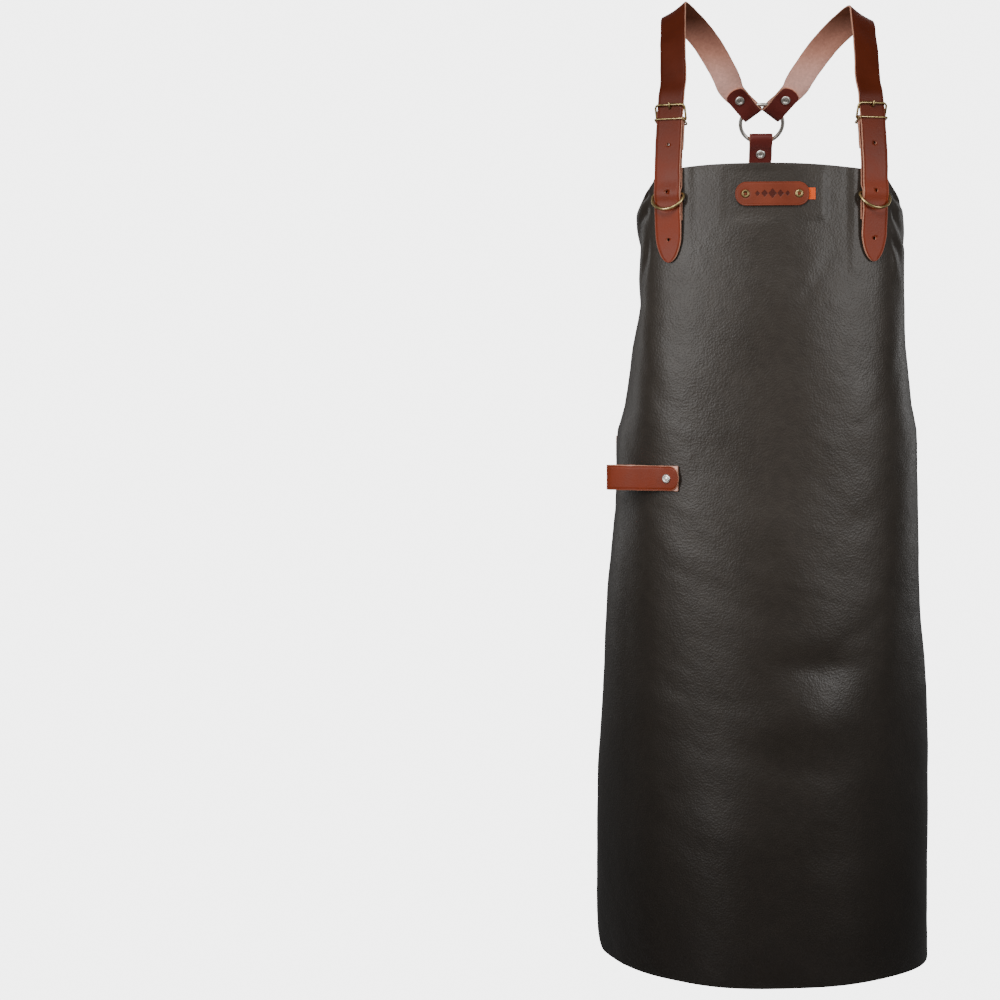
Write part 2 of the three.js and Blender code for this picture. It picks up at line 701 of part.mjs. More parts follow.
// The centre strap hangs from the O-ring and ends in a loop that the waist strap passes through.
function makeCentreStrap() {
  const sideways = new THREE.Vector3(1, 0, 0);
  const outer = WAIST_BACK_Y + 4.6;
  const inner = WAIST_BACK_Y - 4.6;
  const loopBottom = waistZ - WAIST_STRAP_WIDTH / 2 - 1.5;
  const down = [
    [154, -220],
    [155, -280],
    [151, -380],
    [146, -480],
    [142.7, BACK_LOOP_RIVET_Z + 6],
    [142.7, BACK_LOOP_RIVET_Z - 6],
    [outer, waistZ + 14],
    [outer, waistZ],
    ...arcSpots(WAIST_BACK_Y, loopBottom, outer - WAIST_BACK_Y, 0, -Math.PI),
    [inner, waistZ],
    [inner, waistZ + 14],
    [139.5, BACK_LOOP_RIVET_Z - 6],
    [139.5, BACK_LOOP_RIVET_Z + 14],
  ].map(([y, z]) => ({ point: new THREE.Vector3(0, y, z), across: sideways }));
  const keys = [...ringKeys(ringUp.clone().negate(), sideways, CENTRE_TURN), ...down];
  const flap = roundStart(BACK_STRAP_WIDTH / 2);
  const stations = stationsAlong(keys, 18);
  addLeather("back_strap", band(stations, BACK_STRAP_WIDTH, STRAP_THICKNESS, flap));
  const grip = STRAP_THICKNESS + GAP / 2;
  const atRing = RING_CENTRE.clone().addScaledVector(ringUp, -CENTRE_TURN.rivet);
  ringRivet("centre", atRing, [-grip, grip], "back_strap");
  const atLoop = new THREE.Vector3(0, WAIST_BACK_Y + 0.1, BACK_LOOP_RIVET_Z);
  const back = new THREE.Vector3(0, 1, 0);
  rivet("back_loop_rivet", { point: atLoop, out: back }, [-grip, grip], ["back_strap"]);
}

// ---- patch, tag and towel loop ---------------------------------------------------------------
function makePatch() {
  const tagN = PANEL_THICKNESS / 2 + 2 * GAP + TAG_THICKNESS / 2;
  const patchN = tagN + TAG_THICKNESS / 2 + GAP + PATCH_THICKNESS / 2;
  const along = (us, n) =>
    us.map((u) => ({ point: drape(u, PATCH_V, n).point, across: UP }));
  const half = PATCH_WIDTH / 2;
  const ends = (at, length) =>
    Math.min(roundStart(PATCH_HEIGHT / 2)(at), roundEnd(PATCH_HEIGHT / 2)(at, length));
  const patchKeys = along([-half, -half + 3, -half / 2, 0, half / 2, half - 3, half], patchN);
  addLeather("patch", band(stationsAlong(patchKeys, 8), PATCH_HEIGHT, PATCH_THICKNESS, ends));
  const tagKeys = along([half - 5, half + 2, half + 7.5], tagN);
  addMesh("side_tag", band(stationsAlong(tagKeys, 8), 14, TAG_THICKNESS), WEBBING);
  const grip = [-PANEL_THICKNESS / 2, patchN + PATCH_THICKNESS / 2];
  const names = ["patch", "apron_panel"];
  tubularRivet("patch_rivet_left", drape(-PATCH_RIVET_U, PATCH_V), grip, names);
  tubularRivet("patch_rivet_right", drape(PATCH_RIVET_U, PATCH_V), grip, names);
}

// A strip folded on itself, both ends held by one rivet, open upwards and downwards for a towel.
function makeTowelLoop() {
  const root = drape(LOOP_U, LOOP_V);
  const inner = PANEL_THICKNESS / 2 + 2 * CAP_GAP + LOOP_THICKNESS / 2;
  const outer = inner + LOOP_THICKNESS + GAP;
  const centre = inner + LOOP_GAPE;
  const fold = LOOP_REACH - LOOP_GAPE;
  const spots = [
    [-14, inner],
    [8, inner],
    [40, inner],
    ...arcSpots(fold, centre, LOOP_GAPE, -Math.PI / 2, Math.PI / 2),
    [50, centre + LOOP_GAPE],
    [28, outer + 4],
    [14, outer + 0.8],
    [8, outer],
    [-16, outer],
  ];
  const keys = spots.map(([t, n]) => ({
    point: root.point.clone().addScaledVector(root.across, -t).addScaledVector(root.out, n),
    across: UP,
  }));
  const rounded = roundEnd(LOOP_HEIGHT / 4);
  addLeather("towel_loop", band(stationsAlong(keys, 14), LOOP_HEIGHT, LOOP_THICKNESS, rounded));
  const grip = [-PANEL_THICKNESS / 2, outer + LOOP_THICKNESS / 2];
  const names = ["towel_loop", "apron_panel"];
  rivet("towel_loop_rivet", root, grip, names, NICKEL, LOOP_RIVET_RADIUS);
}

makePanel();
makeShoulder(-1, "left");
makeShoulder(1, "right");
addMesh(
  "o_ring",
  new THREE.TorusGeometry(RING_RADIUS, RING_WIRE, 6, 30),
  NICKEL,
  basis(new THREE.Vector3(1, 0, 0), ringUp, RING_CENTRE),
);
makeWaist();
makeCentreStrap();
makePatch();
makeTowelLoop();

for (const [name, { solid, look }] of leather) addMesh(name, geometryOf(solid), look);

export default group;
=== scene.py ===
import math

import bmesh
import bpy
import numpy as np
from mathutils import Matrix, Vector


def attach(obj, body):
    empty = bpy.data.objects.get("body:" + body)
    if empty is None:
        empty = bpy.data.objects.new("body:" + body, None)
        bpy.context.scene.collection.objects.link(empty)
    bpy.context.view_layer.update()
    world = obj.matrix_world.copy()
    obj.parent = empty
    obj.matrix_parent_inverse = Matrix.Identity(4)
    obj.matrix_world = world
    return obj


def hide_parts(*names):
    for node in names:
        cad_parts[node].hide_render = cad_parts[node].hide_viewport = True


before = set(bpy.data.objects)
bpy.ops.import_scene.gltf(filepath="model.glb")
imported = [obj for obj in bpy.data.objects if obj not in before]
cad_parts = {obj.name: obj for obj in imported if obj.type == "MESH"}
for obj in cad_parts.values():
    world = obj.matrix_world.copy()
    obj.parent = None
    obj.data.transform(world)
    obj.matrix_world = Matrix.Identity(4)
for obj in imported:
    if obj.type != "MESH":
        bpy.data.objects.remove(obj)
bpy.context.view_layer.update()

MM = 0.001

# ---- camera, floor and light -------------------------------------------------------------------
CAMERA_AT = (-0.181, -2.9702, -0.4159)
CAMERA_LENS = 83.79
CAMERA_AZIMUTH, CAMERA_DROP, CAMERA_ROLL = (math.radians(a) for a in (3.04, 3.89, -0.27))


def stage():
    data = bpy.data.cameras.new("camera")
    data.lens = CAMERA_LENS
    data.sensor_width = 36
    camera = bpy.data.objects.new("camera", data)
    bpy.context.scene.collection.objects.link(camera)
    bpy.context.scene.camera = camera
    turn = Matrix.Rotation(CAMERA_AZIMUTH, 4, "Z") @ Matrix.Rotation(math.pi / 2 - CAMERA_DROP, 4, "X")
    camera.matrix_world = Matrix.Translation(CAMERA_AT) @ turn @ Matrix.Rotation(CAMERA_ROLL, 4, "Z")

    world = bpy.data.worlds.new("studio")
    bpy.context.scene.world = world
    world.use_nodes = True
    tree = world.node_tree
    fill = tree.nodes["Background"]
    fill.inputs["Color"].default_value = (1, 1, 1, 1)
    fill.inputs["Strength"].default_value = WORLD
    backdrop = node(tree, "ShaderNodeBackground")
    backdrop.inputs["Strength"].default_value = BACKDROP
    mixed = node(tree, "ShaderNodeMixShader")
    tree.links.new(node(tree, "ShaderNodeLightPath").outputs["Is Camera Ray"], mixed.inputs[0])
    tree.links.new(fill.outputs[0], mixed.inputs[1])
    tree.links.new(backdrop.outputs[0], mixed.inputs[2])
    tree.links.new(mixed.outputs[0], tree.nodes["World Output"].inputs["Surface"])

    floor_mesh = bpy.data.meshes.new("floor")
    around = [2 * math.pi * k / FLOOR_SIDES for k in range(FLOOR_SIDES)]
    floor_mesh.from_pydata(
        [(FLOOR_RADIUS * math.cos(a), FLOOR_RADIUS * math.sin(a), FLOOR_Z) for a in around],
        [],
        [tuple(range(FLOOR_SIDES))],
    )
    floor = bpy.data.objects.new("floor", floor_mesh)
    bpy.context.scene.collection.objects.link(floor)
    pale, tree, shader = new_material("floor_paint")
    shader.inputs["Base Color"].default_value = (0.9, 0.9, 0.9, 1)
    shader.inputs["Roughness"].default_value = 0.9
    shader.inputs["Specular IOR Level"].default_value = 0.0
    floor_mesh.materials.append(pale)

    for name, at, towards, wide, tall, watts, colour in LIGHTS:
        light = bpy.data.lights.new(name, "AREA")
        light.shape = "RECTANGLE"
        light.size, light.size_y = wide, tall
        light.energy = watts
        light.color = colour
        lamp = bpy.data.objects.new(name, light)
        bpy.context.scene.collection.objects.link(lamp)
        aim = Vector(towards) - Vector(at)
        lamp.matrix_world = Matrix.Translation(at) @ aim.to_track_quat("-Z", "Y").to_matrix().to_4x4()


WORLD = 0.16  # the fill light of the surroundings
BACKDROP = 6.0  # how bright they look to the camera
FLOOR_RADIUS, FLOOR_Z, FLOOR_SIDES = 0.62, -1.46, 128
LIGHTS = [
    # name, place, aimed at, width, height, watts, colour
    ("key_light", (-0.5, -1.9, 1.25), (0, -0.1, -0.30), 1.2, 0.7, 30, (1, 0.98, 0.96)),
    ("left_strip", (-1.25, -1.45, -0.12), (0, -0.05, -0.42), 0.34, 0.8, 19, (1, 1, 1)),
    ("right_strip", (1.35, -1.3, -0.05), (0, -0.05, -0.40), 0.3, 0.7, 15, (1, 1, 1)),
    ("left_rim", (-1.2, 0.9, -0.2), (-0.1, 0.05, -0.55), 0.16, 1.4, 3, (1, 1, 1)),
    ("right_rim", (1.2, 0.9, -0.2), (0.1, 0.05, -0.55), 0.16, 1.4, 3, (1, 1, 1)),
    ("back_light", (0.2, 1.6, 1.1), (0, 0, -0.4), 1.4, 0.9, 14, (1, 1, 1)),
]


# ---- materials -----------------------------------------------------------------------------------
def new_material(name):
    material = bpy.data.materials.new(name)
    material.use_nodes = True
    return material, material.node_tree, material.node_tree.nodes["Principled BSDF"]


def node(tree, kind, **settings):
    made = tree.nodes.new(kind)
    for key, value in settings.items():
        setattr(made, key, value)
    return made


def noise_field(tree, place, scale, detail=4.0, roughness=0.55):
    field = node(tree, "ShaderNodeTexNoise")
    field.inputs["Scale"].default_value = scale
    field.inputs["Detail"].default_value = detail
    field.inputs["Roughness"].default_value = roughness
    tree.links.new(place, field.inputs["Vector"])
    return field.outputs["Fac"]


def ramp(tree, value, stops):
    made = node(tree, "ShaderNodeValToRGB")
    elements = made.color_ramp.elements
    while len(elements) < len(stops):
        elements.new(0.5)
    for element, (position, colour) in zip(elements, stops):
        element.position = position
        element.color = (*colour, 1)
    tree.links.new(value, made.inputs["Fac"])
    return made.outputs["Color"]


def remap(tree, value, low, high, to_low, to_high):
    made = node(tree, "ShaderNodeMapRange")
    made.inputs["From Min"].default_value = low
    made.inputs["From Max"].default_value = high
    made.inputs["To Min"].default_value = to_low
    made.inputs["To Max"].default_value = to_high
    tree.links.new(value, made.inputs["Value"])
    return made.outputs["Result"]


def blend(tree, a, b, share, mode="MIX"):
    made = node(tree, "ShaderNodeMix", data_type="RGBA", blend_type=mode)
    for socket, value in ((made.inputs[6], a), (made.inputs[7], b), (made.inputs[0], share)):
        if isinstance(value, (tuple, float, int)):
            socket.default_value = (*value, 1) if isinstance(value, tuple) else value
        else:
            tree.links.new(value, socket)
    return made.outputs[2]


def bump(tree, height, strength, distance, normal=None):
    made = node(tree, "ShaderNodeBump")
    made.inputs["Strength"].default_value = strength
    made.inputs["Distance"].default_value = distance
    tree.links.new(height, made.inputs["Height"])
    if normal is not None:
        tree.links.new(normal, made.inputs["Normal"])
    return made.outputs["Normal"]


def place_of(tree):
    return node(tree, "ShaderNodeTexCoord").outputs["Object"]


def height_of(tree, place):
    split = node(tree, "ShaderNodeSeparateXYZ")
    tree.links.new(place, split.inputs["Vector"])
    return split.outputs["Z"]


def panel_leather():
    """Pebbled leather. Its colour gets darker towards the hem and the sides, which is painted shade."""
    material, tree, shader = new_material("panel_leather")
    place = place_of(tree)
    cloud = noise_field(tree, place, 9, 5)
    mottle = noise_field(tree, place, 90, 4)
    tone = ramp(tree, cloud, [(0.3, (0.030, 0.0235, 0.0180)), (0.7, (0.037, 0.0295, 0.0232))])
    specks = ramp(tree, mottle, [(0.3, (0.86, 0.85, 0.84)), (0.7, (1.08, 1.08, 1.08))])
    body = blend(tree, tone, specks, 1.0, "MULTIPLY")
    split = node(tree, "ShaderNodeSeparateXYZ")
    tree.links.new(place, split.inputs["Vector"])
    # painted shade: the base colour darkens towards the sides, where the leather turns away from the light
    aside = node(tree, "ShaderNodeMath", operation="ABSOLUTE")
    tree.links.new(split.outputs["X"], aside.inputs[0])
    away = remap(tree, aside.outputs[0], 0.13, 0.205, 0.0, 1.0)
    painted_side_shade = ramp(tree, away, [(0.0, (1, 1, 1)), (1.0, (0.5, 0.46, 0.42))])
    body = blend(tree, body, painted_side_shade, 1.0, "MULTIPLY")
    # painted shade: the base colour gets darker towards the hem, where less light falls
    low = remap(tree, split.outputs["Z"], -1.2, -0.62, 0.0, 1.0)
    fade = ramp(tree, low, [(0.0, (0.19, 0.13, 0.07)), (1.0, (1, 1, 1))])
    tree.links.new(blend(tree, body, fade, 1.0, "MULTIPLY"), shader.inputs["Base Color"])
    pebble = node(tree, "ShaderNodeTexVoronoi", feature="SMOOTH_F1")
    pebble.inputs["Scale"].default_value = 420
    pebble.inputs["Smoothness"].default_value = 0.6
    tree.links.new(place, pebble.inputs["Vector"])
    wrinkle = noise_field(tree, place, 150, 6, 0.65)
    first = bump(tree, pebble.outputs["Distance"], 0.42, 0.0006)
    second = bump(tree, wrinkle, 0.24, 0.0011, first)
    tree.links.new(second, shader.inputs["Normal"])
    tree.links.new(remap(tree, cloud, 0.3, 0.7, 0.40, 0.49), shader.inputs["Roughness"])
    shader.inputs["Specular IOR Level"].default_value = 0.40
    return material


def strap_leather(name, dark, light, grain=0.35):
    """Smooth bridle leather. It gets lighter from the shoulders down to the strap ends, painted shade
    darkening it towards the shoulders.
    """
    material, tree, shader = new_material(name)
    place = place_of(tree)
    cloud = noise_field(tree, place, 24, 5)
    fine = noise_field(tree, place, 420, 5)
    # painted shade: dark towards the shoulders, light towards the strap ends, where the two colours given
    # differ
    painted_half_shade = tuple(0.8 * a + 0.2 * b for a, b in zip(light, dark))
    up = remap(tree, height_of(tree, place), -0.33, 0.02, 0.0, 1.0)
    painted_shoulder_shade = ramp(tree, up, [(0.0, light), (0.30, painted_half_shade), (0.62, dark)])
    shade = ramp(tree, cloud, [(0.3, (0.82, 0.80, 0.78)), (0.7, (1.12, 1.10, 1.08))])
    body = blend(tree, painted_shoulder_shade, shade, 1.0, "MULTIPLY")
    tree.links.new(body, shader.inputs["Base Color"])
    pores = node(tree, "ShaderNodeTexVoronoi", feature="F1")
    pores.inputs["Scale"].default_value = 900
    tree.links.new(place, pores.inputs["Vector"])
    first = bump(tree, pores.outputs["Distance"], grain * 0.6, 0.0003)
    tree.links.new(bump(tree, fine, grain, 0.0005, first), shader.inputs["Normal"])
    tree.links.new(remap(tree, cloud, 0.3, 0.7, 0.42, 0.55), shader.inputs["Roughness"])
    shader.inputs["Specular IOR Level"].default_value = 0.26
    return material


def flesh_leather():
    """The napped inner side of the straps, darker where it bends over the shoulder, which is painted shade.
    """
    material, tree, shader = new_material("strap_flesh")
    place = place_of(tree)
    # painted shade: the inner side darkens towards the shoulder's crest
    painted_crest_shade = remap(tree, height_of(tree, place), -0.085, -0.008, 0.0, 1.0)
    clean, shaded, darkest = (0.90, 0.52, 0.43), (0.56, 0.26, 0.19), (0.09, 0.026, 0.012)
    tone = ramp(tree, painted_crest_shade, [(0.0, clean), (0.45, shaded), (1.0, darkest)])
    fibre = noise_field(tree, place, 260, 8, 0.7)
    nap = ramp(tree, fibre, [(0.3, (0.80, 0.78, 0.76)), (0.7, (1.1, 1.1, 1.1))])
    tree.links.new(blend(tree, tone, nap, 1.0, "MULTIPLY"), shader.inputs["Base Color"])
    tree.links.new(bump(tree, fibre, 0.6, 0.0007), shader.inputs["Normal"])
    shader.inputs["Roughness"].default_value = 0.85
    shader.inputs["Specular IOR Level"].default_value = 0.2
    return material


def raw_edge(name, colour):
    material, tree, shader = new_material(name)
    place = place_of(tree)
    fibre = noise_field(tree, place, 700, 6, 0.7)
    dark = tuple(0.45 * c for c in colour)
    tree.links.new(ramp(tree, fibre, [(0.32, dark), (0.6, colour)]), shader.inputs["Base Color"])
    tree.links.new(bump(tree, fibre, 0.7, 0.0005), shader.inputs["Normal"])
    shader.inputs["Roughness"].default_value = 0.8
    return material


def panel_back():
    material, tree, shader = new_material("panel_flesh")
    place = place_of(tree)
    fibre = noise_field(tree, place, 220, 8, 0.7)
    tone = ramp(tree, fibre, [(0.3, (0.070, 0.058, 0.050)), (0.7, (0.13, 0.11, 0.095))])
    tree.links.new(tone, shader.inputs["Base Color"])
    tree.links.new(bump(tree, fibre, 0.6, 0.001), shader.inputs["Normal"])
    shader.inputs["Roughness"].default_value = 0.9
    shader.inputs["Specular IOR Level"].default_value = 0.15
    return material


def metal(name, bright, tarnish, low, high):
    material, tree, shader = new_material(name)
    place = place_of(tree)
    spots = noise_field(tree, place, 70, 3, 0.5)
    tree.links.new(ramp(tree, spots, [(0.30, tarnish), (0.62, bright)]), shader.inputs["Base Color"])
    tree.links.new(remap(tree, spots, 0.3, 0.7, high, low), shader.inputs["Roughness"])
    scuffs = noise_field(tree, place, 900, 4)
    tree.links.new(bump(tree, scuffs, 0.08, 0.0002), shader.inputs["Normal"])
    shader.inputs["Metallic"].default_value = 1.0
    return material


def ribbon_cloth():
    material, tree, shader = new_material("woven_ribbon")
    place = place_of(tree)
    weave = node(tree, "ShaderNodeTexWave", wave_type="BANDS", bands_direction="DIAGONAL")
    weave.inputs["Scale"].default_value = 900
    weave.inputs["Distortion"].default_value = 0.4
    tree.links.new(place, weave.inputs["Vector"])
    tone = ramp(tree, weave.outputs["Fac"], [(0.0, (0.72, 0.07, 0.006)), (1.0, (0.95, 0.14, 0.012))])
    tree.links.new(tone, shader.inputs["Base Color"])
    tree.links.new(bump(tree, weave.outputs["Fac"], 0.5, 0.0003), shader.inputs["Normal"])
    shader.inputs["Roughness"].default_value = 0.75
    return material


PANEL = panel_leather()
PANEL_BACK = panel_back()
PANEL_EDGE = raw_edge("panel_edge", (0.16, 0.13, 0.11))
# the first colour is the painted shade towards the shoulders
STRAP = strap_leather("strap_grain", (0.078, 0.009, 0.0), (0.195, 0.028, 0.0075))
FLAP = strap_leather("flap_grain", (0.13, 0.022, 0.018), (0.13, 0.022, 0.018))
PATCH = strap_leather("patch_grain", (0.185, 0.034, 0.013), (0.185, 0.034, 0.013))
PRESSED = strap_leather("pressed_leather", (0.07, 0.010, 0.004), (0.07, 0.010, 0.004), 0.6)
FLESH = flesh_leather()
EDGE = raw_edge("strap_edge", (0.62, 0.29, 0.19))
BRASS = metal("antique_brass", (0.56, 0.42, 0.19), (0.13, 0.09, 0.04), 0.28, 0.46)
NICKEL = metal("nickel", (0.90, 0.87, 0.81), (0.55, 0.51, 0.46), 0.34, 0.5)
RIBBON = ribbon_cloth()


# ---- the form the leather lies on ----------------------------------------------------------------
BIB_TOP = -203.0
LENGTH = 1000.0
CORNER = 40.0  # radius of the panel's bottom corners
PANEL_FACE = 1.0  # from the panel's middle to its outer or inner face
OUTLINE = np.array([[0, 146], [8, 150], [45, 180], [130, 232], [250, 296], [340, 330], [1000, 330]], float)
FORM = np.array(
    [
        [-100, -95, 310, 135, 70],
        [0, -110, 310, 135, 70],
        [170, -118, 290, 131, 75],
        [325, -121.5, 300, 121, 119],
        [380, -122, 300, 120, 120],
        [770, -140, 215, 100, 215],
        [1000, -152, 215, 100, 215],
    ],
    float,
)


def drape(u, v, n=0.0):
    """Place, direction along u and outward direction of flat point (u, v) of the panel, n outside it."""
    u, v, n = np.broadcast_arrays(*(np.asarray(a, float) for a in (u, v, n)))
    front, r_front, start, r_side = (np.interp(v, FORM[:, 0], FORM[:, k]) for k in (1, 2, 3, 4))
    side = np.where(u < 0, -1.0, 1.0)
    turn = np.minimum(np.abs(u), start) / r_front
    angle = turn + np.maximum(np.abs(u) - start, 0) / r_side
    x = r_front * np.sin(turn) + r_side * (np.sin(angle) - np.sin(turn))
    depth = r_front * (1 - np.cos(turn)) + r_side * (np.cos(turn) - np.cos(angle))
    flat = np.zeros_like(angle)
    out = np.stack([side * np.sin(angle), -np.cos(angle), flat], -1)
    across = np.stack([np.cos(angle), side * np.sin(angle), flat], -1)
    point = np.stack([side * x, front + depth, BIB_TOP - v], -1) + out * n[..., None]
    return point, across, out


def rise(low, high, at):
    share = np.clip((np.asarray(at, float) - low) / (high - low), 0, 1)
    return share * share * (3 - 2 * share)


# ---- mesh helpers --------------------------------------------------------------------------------
def make(name, points, faces, slots, materials, sharp=40):
    """One object from points in millimetres. Faces get their material from slots."""
    mesh = bpy.data.meshes.new(name)
    mesh.from_pydata([tuple(p) for p in np.asarray(points) * MM], [], faces)
    for material in materials:
        mesh.materials.append(material)
    mesh.polygons.foreach_set("material_index", slots)
    shape = bmesh.new()
    shape.from_mesh(mesh)
    bmesh.ops.remove_doubles(shape, verts=shape.verts, dist=0.01 * MM)
    bmesh.ops.recalc_face_normals(shape, faces=shape.faces)
    if shape.calc_volume(signed=True) < 0:
        bmesh.ops.reverse_faces(shape, faces=shape.faces)
    shape.to_mesh(mesh)
    shape.free()
    mesh.shade_smooth()
    mesh.set_sharp_from_angle(angle=math.radians(sharp))
    made = bpy.data.objects.new(name, mesh)
    bpy.context.scene.collection.objects.link(made)
    return made


def sheet_faces(rows, columns):
    """Faces of a grid of rows by columns and its back, in turn, and those of the edge round them."""
    wide, base = columns + 1, (rows + 1) * (columns + 1)
    faces = []
    for i in range(rows):
        for a in range(i * wide, i * wide + columns):
            faces.append((a, a + 1, a + wide + 1, a + wide))
            faces.append((base + a, base + a + wide, base + a + wide + 1, base + a + 1))
    rim = list(range(columns)) + [i * wide + columns for i in range(rows)]
    rim += [rows * wide + j for j in range(columns, 0, -1)]
    rim += [i * wide for i in range(rows, 0, -1)]
    return faces, [(a, base + a, base + b, b) for a, b in zip(rim, rim[1:] + rim[:1])]


def sheet_points(u, v, front, back):
    """Places of the two faces of a sheet that lies front and back outside the form."""
    return np.concatenate([drape(u, v, n)[0].reshape(-1, 3) for n in (front, back)])


def settle(made, body, *nodes, slot=None):
    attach(made, body)
    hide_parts(*nodes)
    return made


def join(name, parts):
    """Several objects as one, with their materials kept."""
    materials, points, faces, slots = [], [], [], []
    for part in parts:
        index = []
        for material in part.data.materials:
            if material not in materials:
                materials.append(material)
            index.append(materials.index(material))
        base = len(points)
        points += [v.co / MM for v in part.data.vertices]
        faces += [[base + i for i in p.vertices] for p in part.data.polygons]
        slots += [index[p.material_index] for p in part.data.polygons]
        mesh = part.data
        bpy.data.objects.remove(part)
        bpy.data.meshes.remove(mesh)
    return make(name, points, faces, slots, materials)


# ---- routes --------------------------------------------------------------------------------------
PER_SPAN = 24  # steps of a route from one key to the next
STATION_STEP = 2.5
GROOVE_INSET = 2.1  # from a strap's edge to the pressed line along it


def smooth_route(points, per_span=PER_SPAN):
    """The centripetal curve through points, as CAD bends its bands."""
    points = [np.asarray(p, float) for p in points]
    padded = [2 * points[0] - points[1], *points, 2 * points[-1] - points[-2]]
    route = []
    for x0, x1, x2, x3 in zip(padded, padded[1:], padded[2:], padded[3:]):
        d0, d1, d2 = (max(np.linalg.norm(b - a) ** 0.5, 1e-4) for a, b in ((x0, x1), (x1, x2), (x2, x3)))
        t1 = ((x1 - x0) / d0 - (x2 - x0) / (d0 + d1) + (x2 - x1) / d1) * d1
        t2 = ((x2 - x1) / d1 - (x3 - x1) / (d1 + d2) + (x3 - x2) / d2) * d1
        square, cube = -3 * x1 + 3 * x2 - 2 * t1 - t2, 2 * x1 - 2 * x2 + t1 + t2
        for i in range(per_span):
            w = i / per_span
            route.append(x1 + t1 * w + square * w**2 + cube * w**3)
    route.append(points[-1])
    return np.array(route)


def stations(keys, fine_ends=(0, 0)):
    """Evenly spaced places along the route through keys, each (place, width direction)."""
    route = smooth_route([k[0] for k in keys])
    wide = np.array([k[1] for k in keys], float)
    spans = np.arange(len(route)) / PER_SPAN
    wide = np.stack([np.interp(spans, np.arange(len(keys)), wide[:, k]) for k in range(3)], -1)
    run = np.concatenate([[0], np.cumsum(np.linalg.norm(np.diff(route, axis=0), axis=1))])
    total = run[-1]
    at = set(np.linspace(0, total, max(2, round(total / STATION_STEP)) + 1))
    for length, flip in zip(fine_ends, (False, True)):
        if length:
            extra = length * np.linspace(0, 1, 16) ** 2
            at |= set(total - extra if flip else extra)
    at = np.array(sorted(at))
    at = at[np.concatenate([[True], np.diff(at) > 0.05])]
    point = np.stack([np.interp(at, run, route[:, k]) for k in range(3)], -1)
    wide = np.stack([np.interp(at, run, wide[:, k]) for k in range(3)], -1)
    along = np.gradient(point, at, axis=0)
    along /= np.linalg.norm(along, axis=1)[:, None]
    wide -= along * np.sum(wide * along, axis=1)[:, None]
    wide /= np.linalg.norm(wide, axis=1)[:, None]
    return point, wide, np.cross(along, wide), at, total


def section(half, thick, grain):
    """A strap's section as (side, distance from that edge, height, finish) round it."""
    t, groove = thick / 2, GROOVE_INSET
    top = [(0.0, 0.15 * t, 1), (0.12, t * 0.7, 1), (0.5, t * 0.97, 0), (groove - 0.55, t, 0)]
    top += [(groove - 0.1, t - 0.28, 0), (groove + 0.35, t, 0), (groove + 2.5, t, 0)]
    inner = [(half * share, t, 0) for share in (0.45, 0.72, 1.0)]
    low = [(half, -t, 2), (half * 0.6, -t, 2), (0.6, -t, 2), (0.1, -t * 0.75, 1)]
    left = [(-1, d, y * grain, f) for d, y, f in top + inner]
    right = [(1, d, y * grain, f) for d, y, f in reversed(top + inner[:-1])]
    under = [(1, d, y * grain, f) for d, y, f in reversed(low[1:])]
    over = [(-1, d, y * grain, f) for d, y, f in low]
    return left + right + under + over


def ribbon(name, keys, width, thick, grain=1, share=None, fine_ends=(0, 0), turned=0.0, wave=0.0):
    """A strap along keys. grain is the side its smooth face is on, up to turned it is a flap."""
    point, wide, up, at, total = stations(keys, fine_ends)
    half = width / 2
    ring = section(half, thick, grain)
    count = len(ring)
    points = []
    for i in range(len(at)):
        reach = half * (share(at[i], total) if share else 1.0)
        reach += 0.12 * math.sin(at[i] * 0.13) + 0.08 * math.sin(at[i] * 0.31 + 1)
        cup = wave * math.sin(at[i] / 37.0)
        for side, inset, y, _ in ring:
            x = side * max(reach - inset, 0.0)
            points.append(point[i] + wide[i] * x + up[i] * (y + cup * (x / half) ** 2))
    faces, slots = [], []
    for i in range(len(at) - 1):
        for j in range(count):
            k = (j + 1) % count
            faces.append((i * count + j, i * count + k, (i + 1) * count + k, (i + 1) * count + j))
            finish = {ring[j][3], ring[k][3]}
            look = finish.pop() if len(finish) == 1 else 1
            slots.append(3 if look == 0 and at[i] < turned else look)
    faces += [tuple(range(count)), tuple((len(at) - 1) * count + j for j in range(count))]
    slots += [1, 1]
    return make(name, points, faces, slots, [STRAP, EDGE, FLESH, FLAP])


def tip(length, power=2.0, least=0.04):
    """A strap end that narrows to a rounded point over its last stretch."""
    return lambda at, total: max((1 - max((length - (total - at)) / length, 0) ** power) ** 0.5, least)


def flap_end(length, least=0.3, power=2.0):
    """The same at a strap's first stretch, blunter."""
    return lambda at, total: max((1 - max((length - at) / length, 0) ** power) ** 0.5, least)


def tube(name, path, radius, look, closed=True, sides=14, normal=None, taper=None):
    """A round wire along path. normal is square to the plane that a closed path lies in."""
    path = np.asarray(path, float)
    count = len(path)
    points = []
    for i in range(count):
        before = path[(i - 1) % count] if closed else path[max(i - 1, 0)]
        after = path[(i + 1) % count] if closed else path[min(i + 1, count - 1)]
        along = (after - before) / np.linalg.norm(after - before)
        side = np.cross(along, normal)
        side /= np.linalg.norm(side)
        over = np.cross(side, along)
        r = radius * (taper(i / (count - 1)) if taper else 1.0)
        for k in range(sides):
            a = 2 * math.pi * k / sides
            points.append(path[i] + side * r * math.cos(a) + over * r * math.sin(a))
    faces = []
    for i in range(count if closed else count - 1):
        for k in range(sides):
            m = (k + 1) % sides
            j = (i + 1) % count
            faces.append((i * sides + k, i * sides + m, j * sides + m, j * sides + k))
    if not closed:
        faces += [tuple(range(sides)), tuple((count - 1) * sides + k for k in range(sides))]
    return make(name, points, faces, [0] * len(faces), [look], 60)


